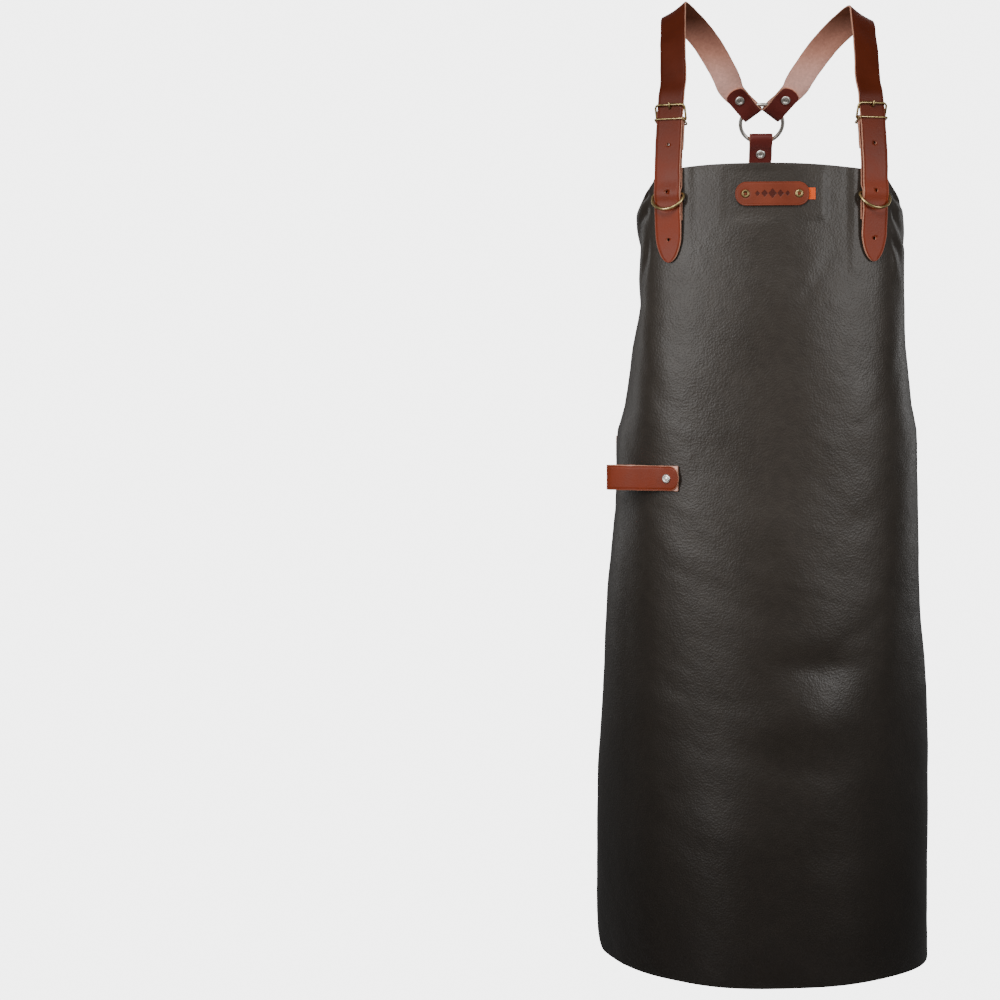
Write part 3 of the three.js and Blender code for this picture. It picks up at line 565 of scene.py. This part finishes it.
def lathe(name, profile, at, out, look, segments=36):
    """A turned piece from (radius, height) points of its profile, round the axis out through at."""
    out = np.asarray(out, float) / np.linalg.norm(out)
    side = np.cross(out, [0, 0, 1.0])
    if np.linalg.norm(side) < 0.1:
        side = np.cross(out, [1.0, 0, 0])
    side /= np.linalg.norm(side)
    over = np.cross(out, side)
    points, faces = [], []
    for r, y in profile:
        for k in range(segments):
            a = 2 * math.pi * k / segments
            spoke = side * math.cos(a) + over * math.sin(a)
            points.append(np.asarray(at, float) + out * y + spoke * max(r, 1e-4))
    rows = len(profile)
    for i in range(rows - 1):
        for k in range(segments):
            m = (k + 1) % segments
            faces.append((i * segments + k, i * segments + m, (i + 1) * segments + m, (i + 1) * segments + k))
    return make(name, points, faces, [0] * len(faces), [look], 35)


def arc(s, n, radius, start, end):
    steps = round(abs(end - start) / (math.pi / 4))
    angles = [start + (end - start) * i / steps for i in range(steps + 1)]
    return [(s + radius * math.cos(a), n + radius * math.sin(a)) for a in angles]


def unit(vector):
    vector = np.asarray(vector, float)
    return vector / np.linalg.norm(vector)


GAP = 0.3
CAP_GAP = 0.8
CAP_RADIUS, CAP_HEIGHT = 4.6, 1.8
RING_CAP_RADIUS = 6.2
LOOP_CAP_RADIUS = 5.6
SHANK_RADIUS = 1.5


def rivet(base, at, out, grip, radius=CAP_RADIUS):
    """A two-part rivet with a dished cap in front and a plain cap behind."""
    name = base + "_look"
    back, front = grip[0] - CAP_GAP, grip[1] + CAP_GAP
    r, h = radius, CAP_HEIGHT
    shank, collar, tuck = SHANK_RADIUS, SHANK_RADIUS + 0.1, 0.75 * CAP_GAP
    face = [(0, front + 0.62 * h), (0.34 * r, front + 0.60 * h), (0.42 * r, front + 0.52 * h)]
    face += [(0.50 * r, front + 0.82 * h), (0.60 * r, front + h), (0.74 * r, front + 0.96 * h)]
    face += [(0.90 * r, front + 0.70 * h), (0.98 * r, front + 0.36 * h), (r, front + 0.14 * h)]
    face += [(0.96 * r, front - tuck), (collar, front - tuck), (shank, back + GAP), (0, back + GAP)]
    behind = [(0, back - h), (0.5 * r, back - 0.95 * h), (0.8 * r, back - 0.7 * h)]
    behind += [(0.97 * r, back - 0.3 * h), (r, back), (0, back)]
    parts = [
        lathe(name + "_a", face, at, out, NICKEL),
        lathe(name + "_b", behind, at, out, NICKEL),
    ]
    settle(join(name, parts), "root", base + "_cap", base + "_back_cap", slot="nickel")


def cut_holes(made, spots, radius, depth):
    """Punches round holes at (place, outward direction) spots."""
    cutters = []
    for at, out in spots:
        profile = [(0, -depth), (radius, -depth), (radius, depth), (0, depth)]
        cutters.append(lathe("cutter", profile, at, out, EDGE, 28))
    cutter = join("cutter", cutters)
    cutter.data.materials.clear()
    for material in made.data.materials:
        cutter.data.materials.append(material)
    cutter.data.polygons.foreach_set("material_index", [1] * len(cutter.data.polygons))
    change = made.modifiers.new("holes", "BOOLEAN")
    change.operation = "DIFFERENCE"
    change.solver = "EXACT"
    change.object = cutter
    bpy.context.view_layer.update()
    graph = bpy.context.evaluated_depsgraph_get()
    new = bpy.data.meshes.new_from_object(made.evaluated_get(graph))
    old = made.data
    made.modifiers.clear()
    made.data = new
    bpy.data.meshes.remove(old)
    bpy.data.objects.remove(cutter)


# ---- the panel -----------------------------------------------------------------------------------
def waves(u, v, size, seed, count=14):
    """A soft random relief of about unit height with features of the given size."""
    rng = np.random.default_rng(seed)
    total = np.zeros_like(u)
    for _ in range(count):
        angle, phase = rng.uniform(0, 2 * math.pi, 2)
        pace = 2 * math.pi / (size * rng.uniform(0.7, 1.5))
        total += np.sin(pace * (u * math.cos(angle) + v * math.sin(angle)) + phase)
    return total / math.sqrt(count / 2)


def crease(u, v, start, end, depth, width, bow=0.0):
    """A soft crease from start to end, with a swelling along its lower side."""
    (a, b), (c, d) = start, end
    length = math.hypot(c - a, d - b)
    tx, ty = (c - a) / length, (d - b) / length
    s = ((u - a) * tx + (v - b) * ty) / length
    off = -(u - a) * ty + (v - b) * tx - bow * np.sin(np.clip(s, 0, 1) * math.pi)
    fade = rise(-0.12, 0.25, s) * (1 - rise(0.7, 1.12, s))
    valley = np.exp(-((off / width) ** 2))
    swelling = np.exp(-(((off - 2.1 * width) / (1.7 * width)) ** 2))
    return fade * depth * (-valley + 0.6 * swelling)


def half_width(v):
    """Half of the flat panel's width at v, with its bottom corners rounded."""
    past = np.clip(v - (LENGTH - CORNER), 0, CORNER)
    return np.interp(v, OUTLINE[:, 0], OUTLINE[:, 1]) - (CORNER - np.sqrt(CORNER**2 - past**2))


def folds(u, v):
    """How far the leather stands out from its smooth form."""
    flat = 1.0
    for u_low, u_high, v_low, v_high in QUIET:
        inside = rise(u_low - 12, u_low, u) * (1 - rise(u_high, u_high + 12, u))
        inside = inside * rise(v_low - 16, v_low, v) * (1 - rise(v_high, v_high + 16, v))
        flat = flat * (1 - inside)
    relief = 0.8 * waves(u * 1.5, v, 260, 3) + 0.16 * waves(u, v, 80, 5) + 0.05 * waves(u, v, 24, 9)
    skirt = rise(430, 950, v)
    relief = relief + skirt * (2.2 * np.sin(u / 47.0 + 0.9 + 0.0022 * v) + 1.2 * np.sin(u / 23.0 + v * 0.004))
    knee = np.exp(-(((u - 52) / 62) ** 2))
    relief = relief + knee * (6.5 * np.exp(-(((v - 676) / 36) ** 2)) - 3.5 * np.exp(-(((v - 612) / 20) ** 2)))
    for start, end, depth, width, bow in CREASES:
        share = 1.0 if start[1] < BIB_CREASES_ABOVE else SOFT_SHARE
        relief = relief + crease(u, v, start, end, depth * share, width, bow)
    sides = np.where(u < 0, np.interp(v, *SIDE_PULL[0]), np.interp(v, *SIDE_PULL[1]))
    return relief * flat - rise(150, 215, np.abs(u)) * sides


# The leather lies flat under the hardware: lowest and highest u, lowest and highest v.
QUIET = [
    (-152, -104, -20, 126),
    (104, 152, -20, 126),
    (-54, 60, 12, 58),
    (-225, -105, 358, 406),
    (276, 340, 325, 375),
    (-340, -276, 325, 375),
]
# How far each side lies inside the smooth form, against the distance below the bib's top.
SIDE_PULL = [
    (
        [30, 60, 95, 170, 220, 295, 325, 345, 375, 430, 600, 700, 1000],
        [0, 6, 12, 11, 7, 6, 2, 0, 0, 3, 3, 3, 3],
    ),
    (
        [10, 45, 95, 170, 220, 295, 325, 345, 375, 560, 700, 850, 1000],
        [0, 3, 2, -2, 2, 4, 1, 0, 0, 4, 2, 0, 0],
    ),
]
# The creases that start on the bib keep their full depth, the others are softer.
BIB_CREASES_ABOVE, SOFT_SHARE = 100, 0.45
# Start, end, depth, half-width and bow of the creases.
CREASES = [
    ((-148, 44), (-205, 100), 3.0, 6, 5),
    ((-150, 78), (-200, 165), 2.6, 7, -6),
    ((-152, 24), (-186, 52), 2.2, 4, 3),
    ((148, 44), (207, 98), 3.0, 6, 5),
    ((150, 80), (204, 165), 2.6, 7, -6),
    ((152, 24), (188, 50), 2.2, 4, 3),
    ((-190, 190), (-80, 330), 1.1, 12, 18),
    ((195, 200), (90, 330), 1.1, 12, -18),
    ((-215, 300), (-60, 480), 1.3, 15, 24),
    ((215, 300), (60, 470), 1.2, 15, -22),
    ((-150, 470), (40, 560), 1.2, 14, 10),
    ((190, 500), (60, 600), 1.4, 13, -12),
    ((-30, 100), (70, 180), 0.5, 9, 6),
    ((80, 90), (10, 200), 0.5, 9, -6),
    ((-240, 560), (-90, 660), 1.5, 16, 14),
    ((-60, 700), (110, 742), 1.6, 16, 14),
    ((150, 660), (260, 600), 1.5, 16, 10),
    ((-210, 760), (-40, 860), 1.2, 18, 12),
    ((60, 850), (230, 800), 1.2, 18, 12),
]


def make_panel():
    """The sheet of leather, a front and a back face with a raw edge between them."""
    columns, rows = 260, 380
    share = np.linspace(-1, 1, columns + 1)
    v = LENGTH * np.linspace(0, 1, rows + 1) ** 1.06
    v = np.concatenate([v[:-1][v[:-1] < 962], LENGTH - 38 * np.linspace(1, 0, 26) ** 1.6])
    grid_u = half_width(v)[:, None] * share[None, :]
    grid_v = np.broadcast_to(v[:, None], grid_u.shape)
    dip = np.where(grid_u > 0, 9 * (grid_u / 130) ** 2, 7 * (grid_u / 130) ** 4) - 2.5
    dip = np.minimum(dip, 10) * (1 - rise(0, 60, grid_v)) + 6 * rise(820, 1000, grid_v)
    relief = folds(grid_u, grid_v)
    rows = len(v) - 1
    points = sheet_points(grid_u, grid_v + dip, relief + PANEL_FACE, relief * 0.94 - PANEL_FACE)
    faces, edge = sheet_faces(rows, columns)
    slots = [0, 1] * (rows * columns) + [2] * len(edge)
    looks = [PANEL, PANEL_BACK, PANEL_EDGE]
    panel = make("leather_panel", points, faces + edge, slots, looks, 50)
    settle(panel, "root", "apron_panel", slot="panel_leather")


# ---- buckles -------------------------------------------------------------------------------------
HEEL_DROP, FLAP_AT, RIVET_AT = 1.25, 37.0, 28.0
WIRE, HALF, REACH = 1.4, 19.2, 20.5  # of the frame: wire radius, half its width, its length
TILT = math.radians(24)
TONGUE_WIRE, KEEPER_WIRE = 1.3, 1.1
KEEPER_HALF, KEEPER_DEPTH = 18.9, 7.9
SHORT = 2.2  # thickness of the short straps


def fold_spots(heel, n):
    """The turn of a short strap round the heel bar, back to its rivet."""
    layer = SHORT + GAP
    spots = arc(heel, n - HEEL_DROP, WIRE + 1.6 * GAP + SHORT / 2, math.pi / 2, 3 * math.pi / 2)
    start = [(heel + 14, n), (heel + 9, n + 0.2)]
    return start + spots + [(heel + 9, n - layer - 0.2), (heel + 14, n - layer), (heel + FLAP_AT, n - layer)]


def rounded(corners, steps=10):
    """A closed outline through (x, y, radius) corners in order."""
    points = []
    count = len(corners)
    for i, (x, y, r) in enumerate(corners):
        here = np.array([x, y], float)
        before = np.array(corners[i - 1][:2], float)
        after = np.array(corners[(i + 1) % count][:2], float)
        a, b = unit(before - here), unit(after - here)
        centre = here + (a + b) * r
        first, last = here + a * r - centre, here + b * r - centre
        for k in range(steps + 1):
            w = k / steps * math.pi / 2
            points.append(centre + first * math.cos(w) + last * math.sin(w))
    dense = []
    for a, b in zip(points, points[1:] + points[:1]):
        gap = np.linalg.norm(b - a)
        pieces = max(1, int(gap // 2.5))
        dense += [a + (b - a) * k / pieces for k in range(pieces)]
    return dense


def in_plane(outline, at, x, y):
    return [np.asarray(at) + np.asarray(x) * p[0] + np.asarray(y) * p[1] for p in outline]


def make_buckle(name, line, heel, short_n, narrow=0.0):
    """Frame, tongue, keeper and rivet of a buckle whose heel bar is at heel along line."""
    at, across, out = line(heel, short_n - HEEL_DROP)
    down = unit(line(heel + 1, short_n - HEEL_DROP)[0] - at)
    tilted = -math.cos(TILT) * down + math.sin(TILT) * out
    normal = np.cross(across, tilted)
    half = HALF - narrow
    corners = [(-half, 0, 2), (half, 0, 2), (half, REACH, 5), (-half, REACH, 5)]
    outline = in_plane(rounded(corners), at, across, tilted)
    frame_wire = tube(name + "_frame_look", outline, WIRE, BRASS, normal=normal)
    settle(frame_wire, name + "_frame_body", name + "_frame", slot="antique_brass")

    hook = WIRE + GAP + TONGUE_WIRE
    angles = np.linspace(math.pi / 2, 3 * math.pi / 2, 14)
    route = [(hook * math.cos(a), hook * math.sin(a)) for a in angles]
    rest = [(0, -hook), (6, -hook), (11, -hook), (14, -0.6 * hook), (17.5, 0.75 * hook)]
    rest += [(REACH, hook + 0.1), (REACH + 3.6, hook + 0.1)]
    route += [tuple(p) for p in smooth_route(rest, 6)[1:]]
    path = [at + tilted * y + normal * z for y, z in route]
    tongue = tube(
        name + "_tongue_look",
        path,
        TONGUE_WIRE,
        BRASS,
        closed=False,
        normal=across,
        taper=lambda s: 1 - 0.28 * rise(0.85, 1, s),
    )
    settle(tongue, name + "_tongue_body", name + "_tongue", slot="antique_brass")

    at, across, out = line(heel + 2.2, short_n + 0.8)
    lean = math.radians(25)
    up = math.cos(lean) * out - math.sin(lean) * down
    w, d = KEEPER_HALF - narrow, KEEPER_DEPTH
    corners = [(-w, -d, 2.4), (w, -d, 2.4), (w, d, 2.4), (-w, d, 2.4)]
    outline = in_plane(rounded(corners), at, across, up)
    keeper = tube(name + "_keeper_look", outline, KEEPER_WIRE, BRASS, normal=np.cross(across, up))
    settle(keeper, name + "_keeper_body", name + "_keeper", slot="antique_brass")

    at, _, out = line(heel + RIVET_AT, short_n)
    layer = SHORT + GAP
    rivet(name + "_rivet", at, out, (-layer - SHORT / 2, SHORT / 2))


# ---- shoulders -----------------------------------------------------------------------------------
RING_AT = np.array([0.0, 113.0, -133.0])
RING_R, RING_WIRE = 27.5, 2.5
RING_TILT = math.radians(33)
RING_UP = np.array([0, -math.sin(RING_TILT), math.cos(RING_TILT)])
RING_OUT = np.array([0, math.cos(RING_TILT), math.sin(RING_TILT)])
STRAP_W, STRAP_T = 34.0, 2.8
SHOULDER_TURN = (46.0, 62.0)  # rivet and end of the turned-back flap, from the ring's centre
CENTRE_TURN = (43.0, 66.0)
ROUTE = [
    (-50, 73, -72, 0.81, -0.26, 0.53),
    (-75, 48, -33, 0.82, -0.14, 0.56),
    (-97, 26, -11, 0.82, -0.06, 0.57),
    (-115, 0, 0, 0.82, 0, 0.57),
    (-118.5, -30, -31, 0.85, -0.2, 0.42),
    (-119, -52, -66, 0.89, -0.32, 0.22),
    (-119, -68, -97, 0.92, -0.38, 0.06),
]
CREST_SAG = {1: 9.0, -1: 2.0}  # the wearer's left strap lies a little lower on the shoulder
# Down the chest: below the bib's top, and outside the panel's middle.
CHEST = [(-90, 4.9), (-76.2, 5.9), (-57.5, 7.4), (-29.5, 8.1), (0, 7.6), (17, 7.8), (33, 9.8)]
CHEST += [(42, 7.9), (47, 7.4), (54, 7.8), (66, 6.6), (90, 4.8), (117, 4.2)]
HOLES = [89, 31, -27]
HEEL = -57.5
D_RING = 33.0
D_RING_WIRE, D_RING_HALF, D_RING_CORNER, D_RING_DEPTH = 1.8, 20.3, 4.0, 24.0
HOLE_RADIUS = 2.0


def ring_keys(away, across, turn):
    """A strap's turn round the O-ring, from the end of its flap back along the strap."""
    rivet_at, flap = turn
    spread = RING_WIRE + GAP + STRAP_T / 2
    pinch = STRAP_T / 2 + GAP / 2
    inside = math.sqrt(RING_R**2 - (STRAP_W / 2) ** 2) - 1
    outside = RING_R + RING_WIRE
    spots = [(flap, -pinch), (rivet_at, -pinch), (rivet_at - 5, -pinch - 0.3), (outside, -spread + 0.2)]
    spots += arc(inside, 0, spread, 3 * math.pi / 2, math.pi / 2)
    spots += [(outside, spread - 0.2), (rivet_at - 5, pinch + 0.3), (rivet_at, pinch), (flap, pinch)]
    return [(RING_AT + away * t + RING_OUT * n, across) for t, n in spots]


def near_ring(at):
    return 0.80 + 0.20 * float(rise(72, 112, at))


def ring_rivet(name, at):
    """The wider rivet that closes a strap's turn round the O-ring."""
    grip = STRAP_T + GAP / 2
    rivet("ring_rivet_" + name, at, -RING_OUT, (-grip, grip), RING_CAP_RADIUS)


def make_shoulder(side, name):
    """The long and the short strap of one shoulder, with their buckle, rivets and D-ring."""
    def line(v, n):
        point, across, out = drape(side * (127 - max(-v, 0) * 0.05), v, n)
        return np.array(point), np.array(across), np.array(out)

    away = RING_UP * math.cos(math.radians(40)) + np.array([side, 0, 0]) * math.sin(math.radians(40))
    across = unit(-side * np.cross(away, RING_OUT))
    across = across if across[0] > 0 else -across
    over = []
    for x, y, z, wx, wy, wz in ROUTE:
        sag = CREST_SAG[side] * rise(-110, -20, z)
        over.append((np.array([-side * x, y, z - sag]), np.array([wx, -side * wy, -side * wz])))
    keys = ring_keys(away, across, SHOULDER_TURN) + over + [line(v, n)[:2] for v, n in CHEST]
    end, start = tip(34, 1.7), flap_end(9, power=2.6)
    long_strap = ribbon(
        "long_strap_" + name,
        keys,
        STRAP_W,
        STRAP_T,
        share=lambda at, total: start(at, total) * end(at, total) * near_ring(at),
        fine_ends=(17, 34),
        turned=68,
    )
    cut_holes(long_strap, [(line(v, 8)[0], line(v, 8)[2]) for v in HOLES], HOLE_RADIUS, 5)
    settle(long_strap, "root", "shoulder_strap_" + name, slot="strap_leather")

    flat = PANEL_FACE + SHORT / 2 + GAP
    hump = PANEL_FACE + GAP + D_RING_WIRE + D_RING_WIRE + GAP + SHORT / 2 + GAP
    spots = [(66, flat), (45, flat), (41, flat + 0.6), (36, hump - 0.4), (33, hump)]
    spots += [(30, hump - 0.4), (25, flat + 0.6), (21, flat), (0, flat)]
    short_keys = [line(v, n)[:2] for v, n in spots + fold_spots(HEEL, flat)]
    short_strap = ribbon("short_strap_" + name, short_keys, STRAP_W, SHORT, grain=-1)
    settle(short_strap, "root", "buckle_strap_" + name, slot="strap_leather")

    make_buckle("buckle_" + name, line, HEEL, flat)
    for where, v in (("upper", D_RING - 17), ("lower", D_RING + 20)):
        at, _, out = line(v, 0)
        rivet(f"bib_{where}_rivet_{name}", at, out, (-PANEL_FACE, flat + SHORT / 2))
    ring_rivet(name, RING_AT + away * SHOULDER_TURN[0])

    at, across, out = line(D_RING, PANEL_FACE + GAP + D_RING_WIRE)
    swing = out * math.sin(math.radians(38)) - np.array([0, 0, 1]) * math.cos(math.radians(38))
    half, corner, depth = D_RING_HALF, D_RING_CORNER, D_RING_DEPTH
    outline = [(x, 0) for x in np.linspace(-half + corner, half - corner, 14)]
    for a in np.linspace(0.2, math.pi / 2, 7):
        outline.append((half - corner + corner * math.sin(a), corner - corner * math.cos(a)))
    for a in np.linspace(0, math.pi, 50)[1:-1]:
        outline.append((half * math.cos(a), corner + (depth - corner) * math.sin(a)))
    for a in np.linspace(0, math.pi / 2 - 0.2, 7):
        outline.append((-half + corner - corner * math.cos(a), corner - corner * math.sin(a)))
    path = in_plane(outline, at, across, swing)
    ring = tube("d_ring_look_" + name, path, D_RING_WIRE, BRASS, normal=np.cross(across, swing))
    settle(ring, f"d_ring_{name}_body", "d_ring_" + name, slot="antique_brass")


# ---- the back ------------------------------------------------------------------------------------
WAIST_Z = BIB_TOP - 350
WAIST_LAYER = PANEL_FACE + 2 + STRAP_T / 2
WAIST_BACK = 141.0
WAIST_W = 30
WAIST_HEEL = 118  # from the left-hand end of the waist line to the heel bar


def waist_half(side):
    """The waist line from the panel's side edge to near the middle of the back."""
    beside = [drape(side * u, 350, WAIST_LAYER)[0] for u in (292, 304, 318, 330)]
    behind = [np.array([side * x, y, WAIST_Z]) for x, y in ((147, 101), (118, 121), (80, 133), (40, 139))]
    return beside + behind


WAIST_MIDDLE = np.array([0, WAIST_BACK, WAIST_Z])
WAIST_ROUTE = smooth_route([*waist_half(1), WAIST_MIDDLE, *waist_half(-1)[::-1]], 80)
WAIST_RUN = np.concatenate([[0], np.cumsum(np.linalg.norm(np.diff(WAIST_ROUTE, axis=0), axis=1))])
WAIST_TOTAL = float(WAIST_RUN[-1])


def waist_line(s, n):
    """Place, width direction and outward direction at s along the waist line, n outside it."""
    s = min(max(s, 0), WAIST_TOTAL)
    point, ahead, behind = (
        np.array([np.interp(min(max(s + d, 0), WAIST_TOTAL), WAIST_RUN, WAIST_ROUTE[:, k]) for k in range(3)])
        for d in (0, 0.5, -0.5)
    )
    along = unit(ahead - behind)
    out = -np.cross([0, 0, 1], along)
    return point + out * n, np.array([0, 0, 1.0]), out


def make_waist():
    heel = WAIST_TOTAL - WAIST_HEEL
    spots = [(0, 0), (30, 0), (90, 0), (140, 0), (190, 0), (heel - 60, 0.3), (heel - 30, 2)]
    spots += [(heel - 18.7, 3.5), (heel, 5), (heel + 28, 5.2), (heel + 50, 5.2)]
    spots += [(heel + 70, 5.4), (WAIST_TOTAL - 32, 5.8)]
    keys = [waist_line(s, n)[:2] for s, n in spots]
    strap = ribbon("waist_long_strap", keys, WAIST_W, STRAP_T, share=tip(22, 2.2), fine_ends=(0, 22))
    holes = [waist_line(WAIST_TOTAL - d, 5.2) for d in (88, 63)]
    cut_holes(strap, [(at, out) for at, _, out in holes], HOLE_RADIUS, 2.5)
    settle(strap, "root", "waist_strap", slot="strap_leather")
    spots = [(WAIST_TOTAL - 2, 0), (WAIST_TOTAL - 36, 0), (WAIST_TOTAL - 60, 0), *fold_spots(heel, 0)]
    keys = [waist_line(s, n)[:2] for s, n in spots]
    short = ribbon("waist_short_strap", keys, WAIST_W, SHORT, grain=-1)
    settle(short, "root", "waist_buckle_strap", slot="strap_leather")
    make_buckle("waist_buckle", waist_line, heel, 0, 2)
    behind = -WAIST_LAYER - PANEL_FACE - CAP_GAP
    for name, s, reach in (("right", 18, STRAP_T / 2), ("left", WAIST_TOTAL - 18, SHORT / 2)):
        at, _, out = waist_line(s, 0)
        rivet("waist_rivet_" + name, at, out, (behind, reach))


def make_centre_strap():
    """The strap from the O-ring down to its loop round the waist strap, and the ring."""
    sideways = np.array([1.0, 0, 0])
    outer, inner = WAIST_BACK + 4.6, WAIST_BACK - 4.6
    bottom = WAIST_Z - WAIST_W / 2 - 1.5
    spots = [(154, -220), (155, -280), (151, -380), (146, -480), (142.7, -514), (142.7, -526)]
    spots += [(outer, WAIST_Z + 14), (outer, WAIST_Z)]
    spots += arc(WAIST_BACK, bottom, 4.6, 0, -math.pi)
    spots += [(inner, WAIST_Z), (inner, WAIST_Z + 14), (139.5, -526), (139.5, -506)]
    keys = ring_keys(-RING_UP, sideways, CENTRE_TURN) + [(np.array([0, y, z]), sideways) for y, z in spots]
    strap = ribbon(
        "centre_strap",
        keys,
        WAIST_W,
        STRAP_T,
        grain=-1,
        share=flap_end(15),
        fine_ends=(15, 0),
        turned=70,
    )
    settle(strap, "root", "back_strap", slot="strap_leather")
    grip = STRAP_T + GAP / 2
    ring_rivet("centre", RING_AT - RING_UP * CENTRE_TURN[0])
    rivet("back_loop_rivet", (0, WAIST_BACK + 0.1, -520), (0, 1, 0), (-grip, grip))
    angles = np.linspace(0, 2 * math.pi, 97)[:-1]
    path = [RING_AT + RING_R * (sideways * math.cos(a) + RING_UP * math.sin(a)) for a in angles]
    ring = tube("o_ring_look", path, RING_WIRE, NICKEL, sides=18, normal=RING_OUT)
    settle(ring, "o_ring_body", "o_ring", slot="nickel")


# ---- patch, tag and towel loop -------------------------------------------------------------------
def motif(x, y):
    """How deep the plain row of diamonds is pressed at a place of the patch, from 0 to 1."""
    mark = np.zeros_like(x)
    for middle, size in ((-18, 0.62), (-9.5, 0.85), (0, 1.1), (9.5, 0.85), (18, 0.62)):
        mark = np.maximum(mark, 1 - rise(0.9, 1.1, (np.abs(x - middle) / 4.6 + np.abs(y) / 5.4) / size))
    return mark


PATCH_V, PATCH_RIVET_U = 35.0, 32.0
TAG_N = PANEL_FACE + 2 * GAP + 0.3
TAG_STEPS = 29
TAG_HALF = 0.25


def make_patch():
    """The riveted patch with its pressed border and plain motif."""
    width, height, thick = 89.0, 29.0, 2.0
    patch_n = TAG_N + 0.3 + GAP + thick / 2
    columns, rows = 240, 76
    corner = 13.5
    bend = np.linspace(-1, 1, columns + 1)
    x = width / 2 * np.sign(bend) * (1 - (1 - np.abs(bend)) ** 1.25)
    past = np.clip(np.abs(x) - (width / 2 - corner), 0, corner)
    tall = height / 2 - corner + np.sqrt(np.maximum(corner**2 - past**2, 0))
    y_share = np.linspace(-1, 1, rows + 1)
    tall = np.maximum(tall, 0.6)
    grid_x = np.broadcast_to(x[:, None], (columns + 1, rows + 1))
    grid_y = tall[:, None] * np.sign(y_share) * (1 - (1 - np.abs(y_share)) ** 1.15)
    qx = np.maximum(np.abs(grid_x) - (width / 2 - corner), 0)
    qy = np.maximum(np.abs(grid_y) - (height / 2 - corner), 0)
    inset = corner - np.hypot(qx, qy)
    inner = np.minimum(width / 2 - np.abs(grid_x), height / 2 - np.abs(grid_y))
    inset = np.where((qx == 0) & (qy == 0), inner, inset)
    top = thick / 2 - 0.5 * (1 - rise(0, 0.7, inset)) ** 2 - 0.3 * np.exp(-(((inset - 1.9) / 0.35) ** 2))
    pressed = motif(grid_x, grid_y)
    dished = 1 - rise(4.6, 7.2, np.hypot(np.abs(grid_x) - PATCH_RIVET_U, grid_y))
    top = top - 0.5 * pressed - 0.35 * dished
    points = sheet_points(grid_x, PATCH_V - grid_y, patch_n + top, patch_n - thick / 2)
    faces, edge = sheet_faces(columns, rows)
    slots = []
    for deep in (pressed[:-1, :-1] > 0.5).ravel():
        slots += [3 if deep else 0, 2]
    slots += [1] * len(edge)
    patch = make("patch_look", points, faces + edge, slots, [PATCH, EDGE, FLESH, PRESSED], 60)
    settle(patch, "root", "patch", slot="strap_leather")

    for side, name in ((-1, "left"), (1, "right")):
        at, _, out = drape(side * PATCH_RIVET_U, PATCH_V)
        back, front = -PANEL_FACE - CAP_GAP, patch_n + thick / 2 + 0.1
        hollow = [(1.5, back), (2.5, back), (2.5, front), (4.7, front - 0.1)]
        hollow += [(5.0, front + 0.35), (4.7, front + 0.85), (3.9, front + 1.15), (3.0, front + 1.1)]
        hollow += [(2.3, front + 0.7), (1.8, front + 0.2), (1.5, front - 0.6), (1.5, back)]
        washer = [(2.8, back - 1), (4.8, back - 1), (5, back - 0.8), (5, back - 0.2)]
        washer += [(4.8, back), (2.8, back), (2.8, back - 1)]
        base = "patch_rivet_" + name
        parts = [
            lathe(base + "_a", hollow, at, out, BRASS),
            lathe(base + "_b", washer, at, out, BRASS),
        ]
        settle(join(base + "_look", parts), "root", base, base + "_washer", slot="antique_brass")


def make_tag():
    """The woven tag, which stands out from under the patch."""
    xs, ys = np.linspace(39.6, 52.3, TAG_STEPS + 1), np.linspace(-7, 7, TAG_STEPS + 1)
    gx, gy = np.meshgrid(xs, ys, indexing="ij")
    lift = 0.12 * np.sin(gy * 1.1) * rise(44, 52, gx)
    points = sheet_points(gx, PATCH_V - gy, TAG_N + lift + TAG_HALF, TAG_N + lift - TAG_HALF)
    faces, edge = sheet_faces(TAG_STEPS, TAG_STEPS)
    faces += edge
    tag = make("side_tag_look", points, faces, [0] * len(faces), [RIBBON])
    settle(tag, "root", "side_tag", slot="woven_ribbon")


def make_towel_loop():
    """A folded strap riveted at one end, standing off the panel's right-hand side."""
    at, across, out = (np.array(a) for a in drape(-128.6, 382.0))
    thick = 2.4
    inner = PANEL_FACE + 2 * CAP_GAP + thick / 2
    outer = inner + thick + GAP
    gape = 5.6
    centre, fold = inner + gape, 80 - gape
    spots = [(-14, inner), (8, inner), (40, inner), *arc(fold, centre, gape, -math.pi / 2, math.pi / 2)]
    spots += [(50, centre + gape), (28, outer + 4), (14, outer + 0.8), (8, outer), (-16, outer)]
    up = np.array([0, 0, 1.0])
    keys = [(at - across * t + out * n, up) for t, n in spots]
    loop = ribbon("towel_loop_look", keys, 31, thick, share=tip(13, 2.4, 0.2), fine_ends=(0, 13), wave=0.3)
    settle(loop, "towel_loop_body", "towel_loop", slot="strap_leather")
    rivet("towel_loop_rivet", at, out, (-PANEL_FACE, outer + thick / 2), LOOP_CAP_RADIUS)


stage()
make_panel()
make_shoulder(-1, "left")
make_shoulder(1, "right")
make_waist()
make_centre_strap()
make_patch()
make_tag()
make_towel_loop()
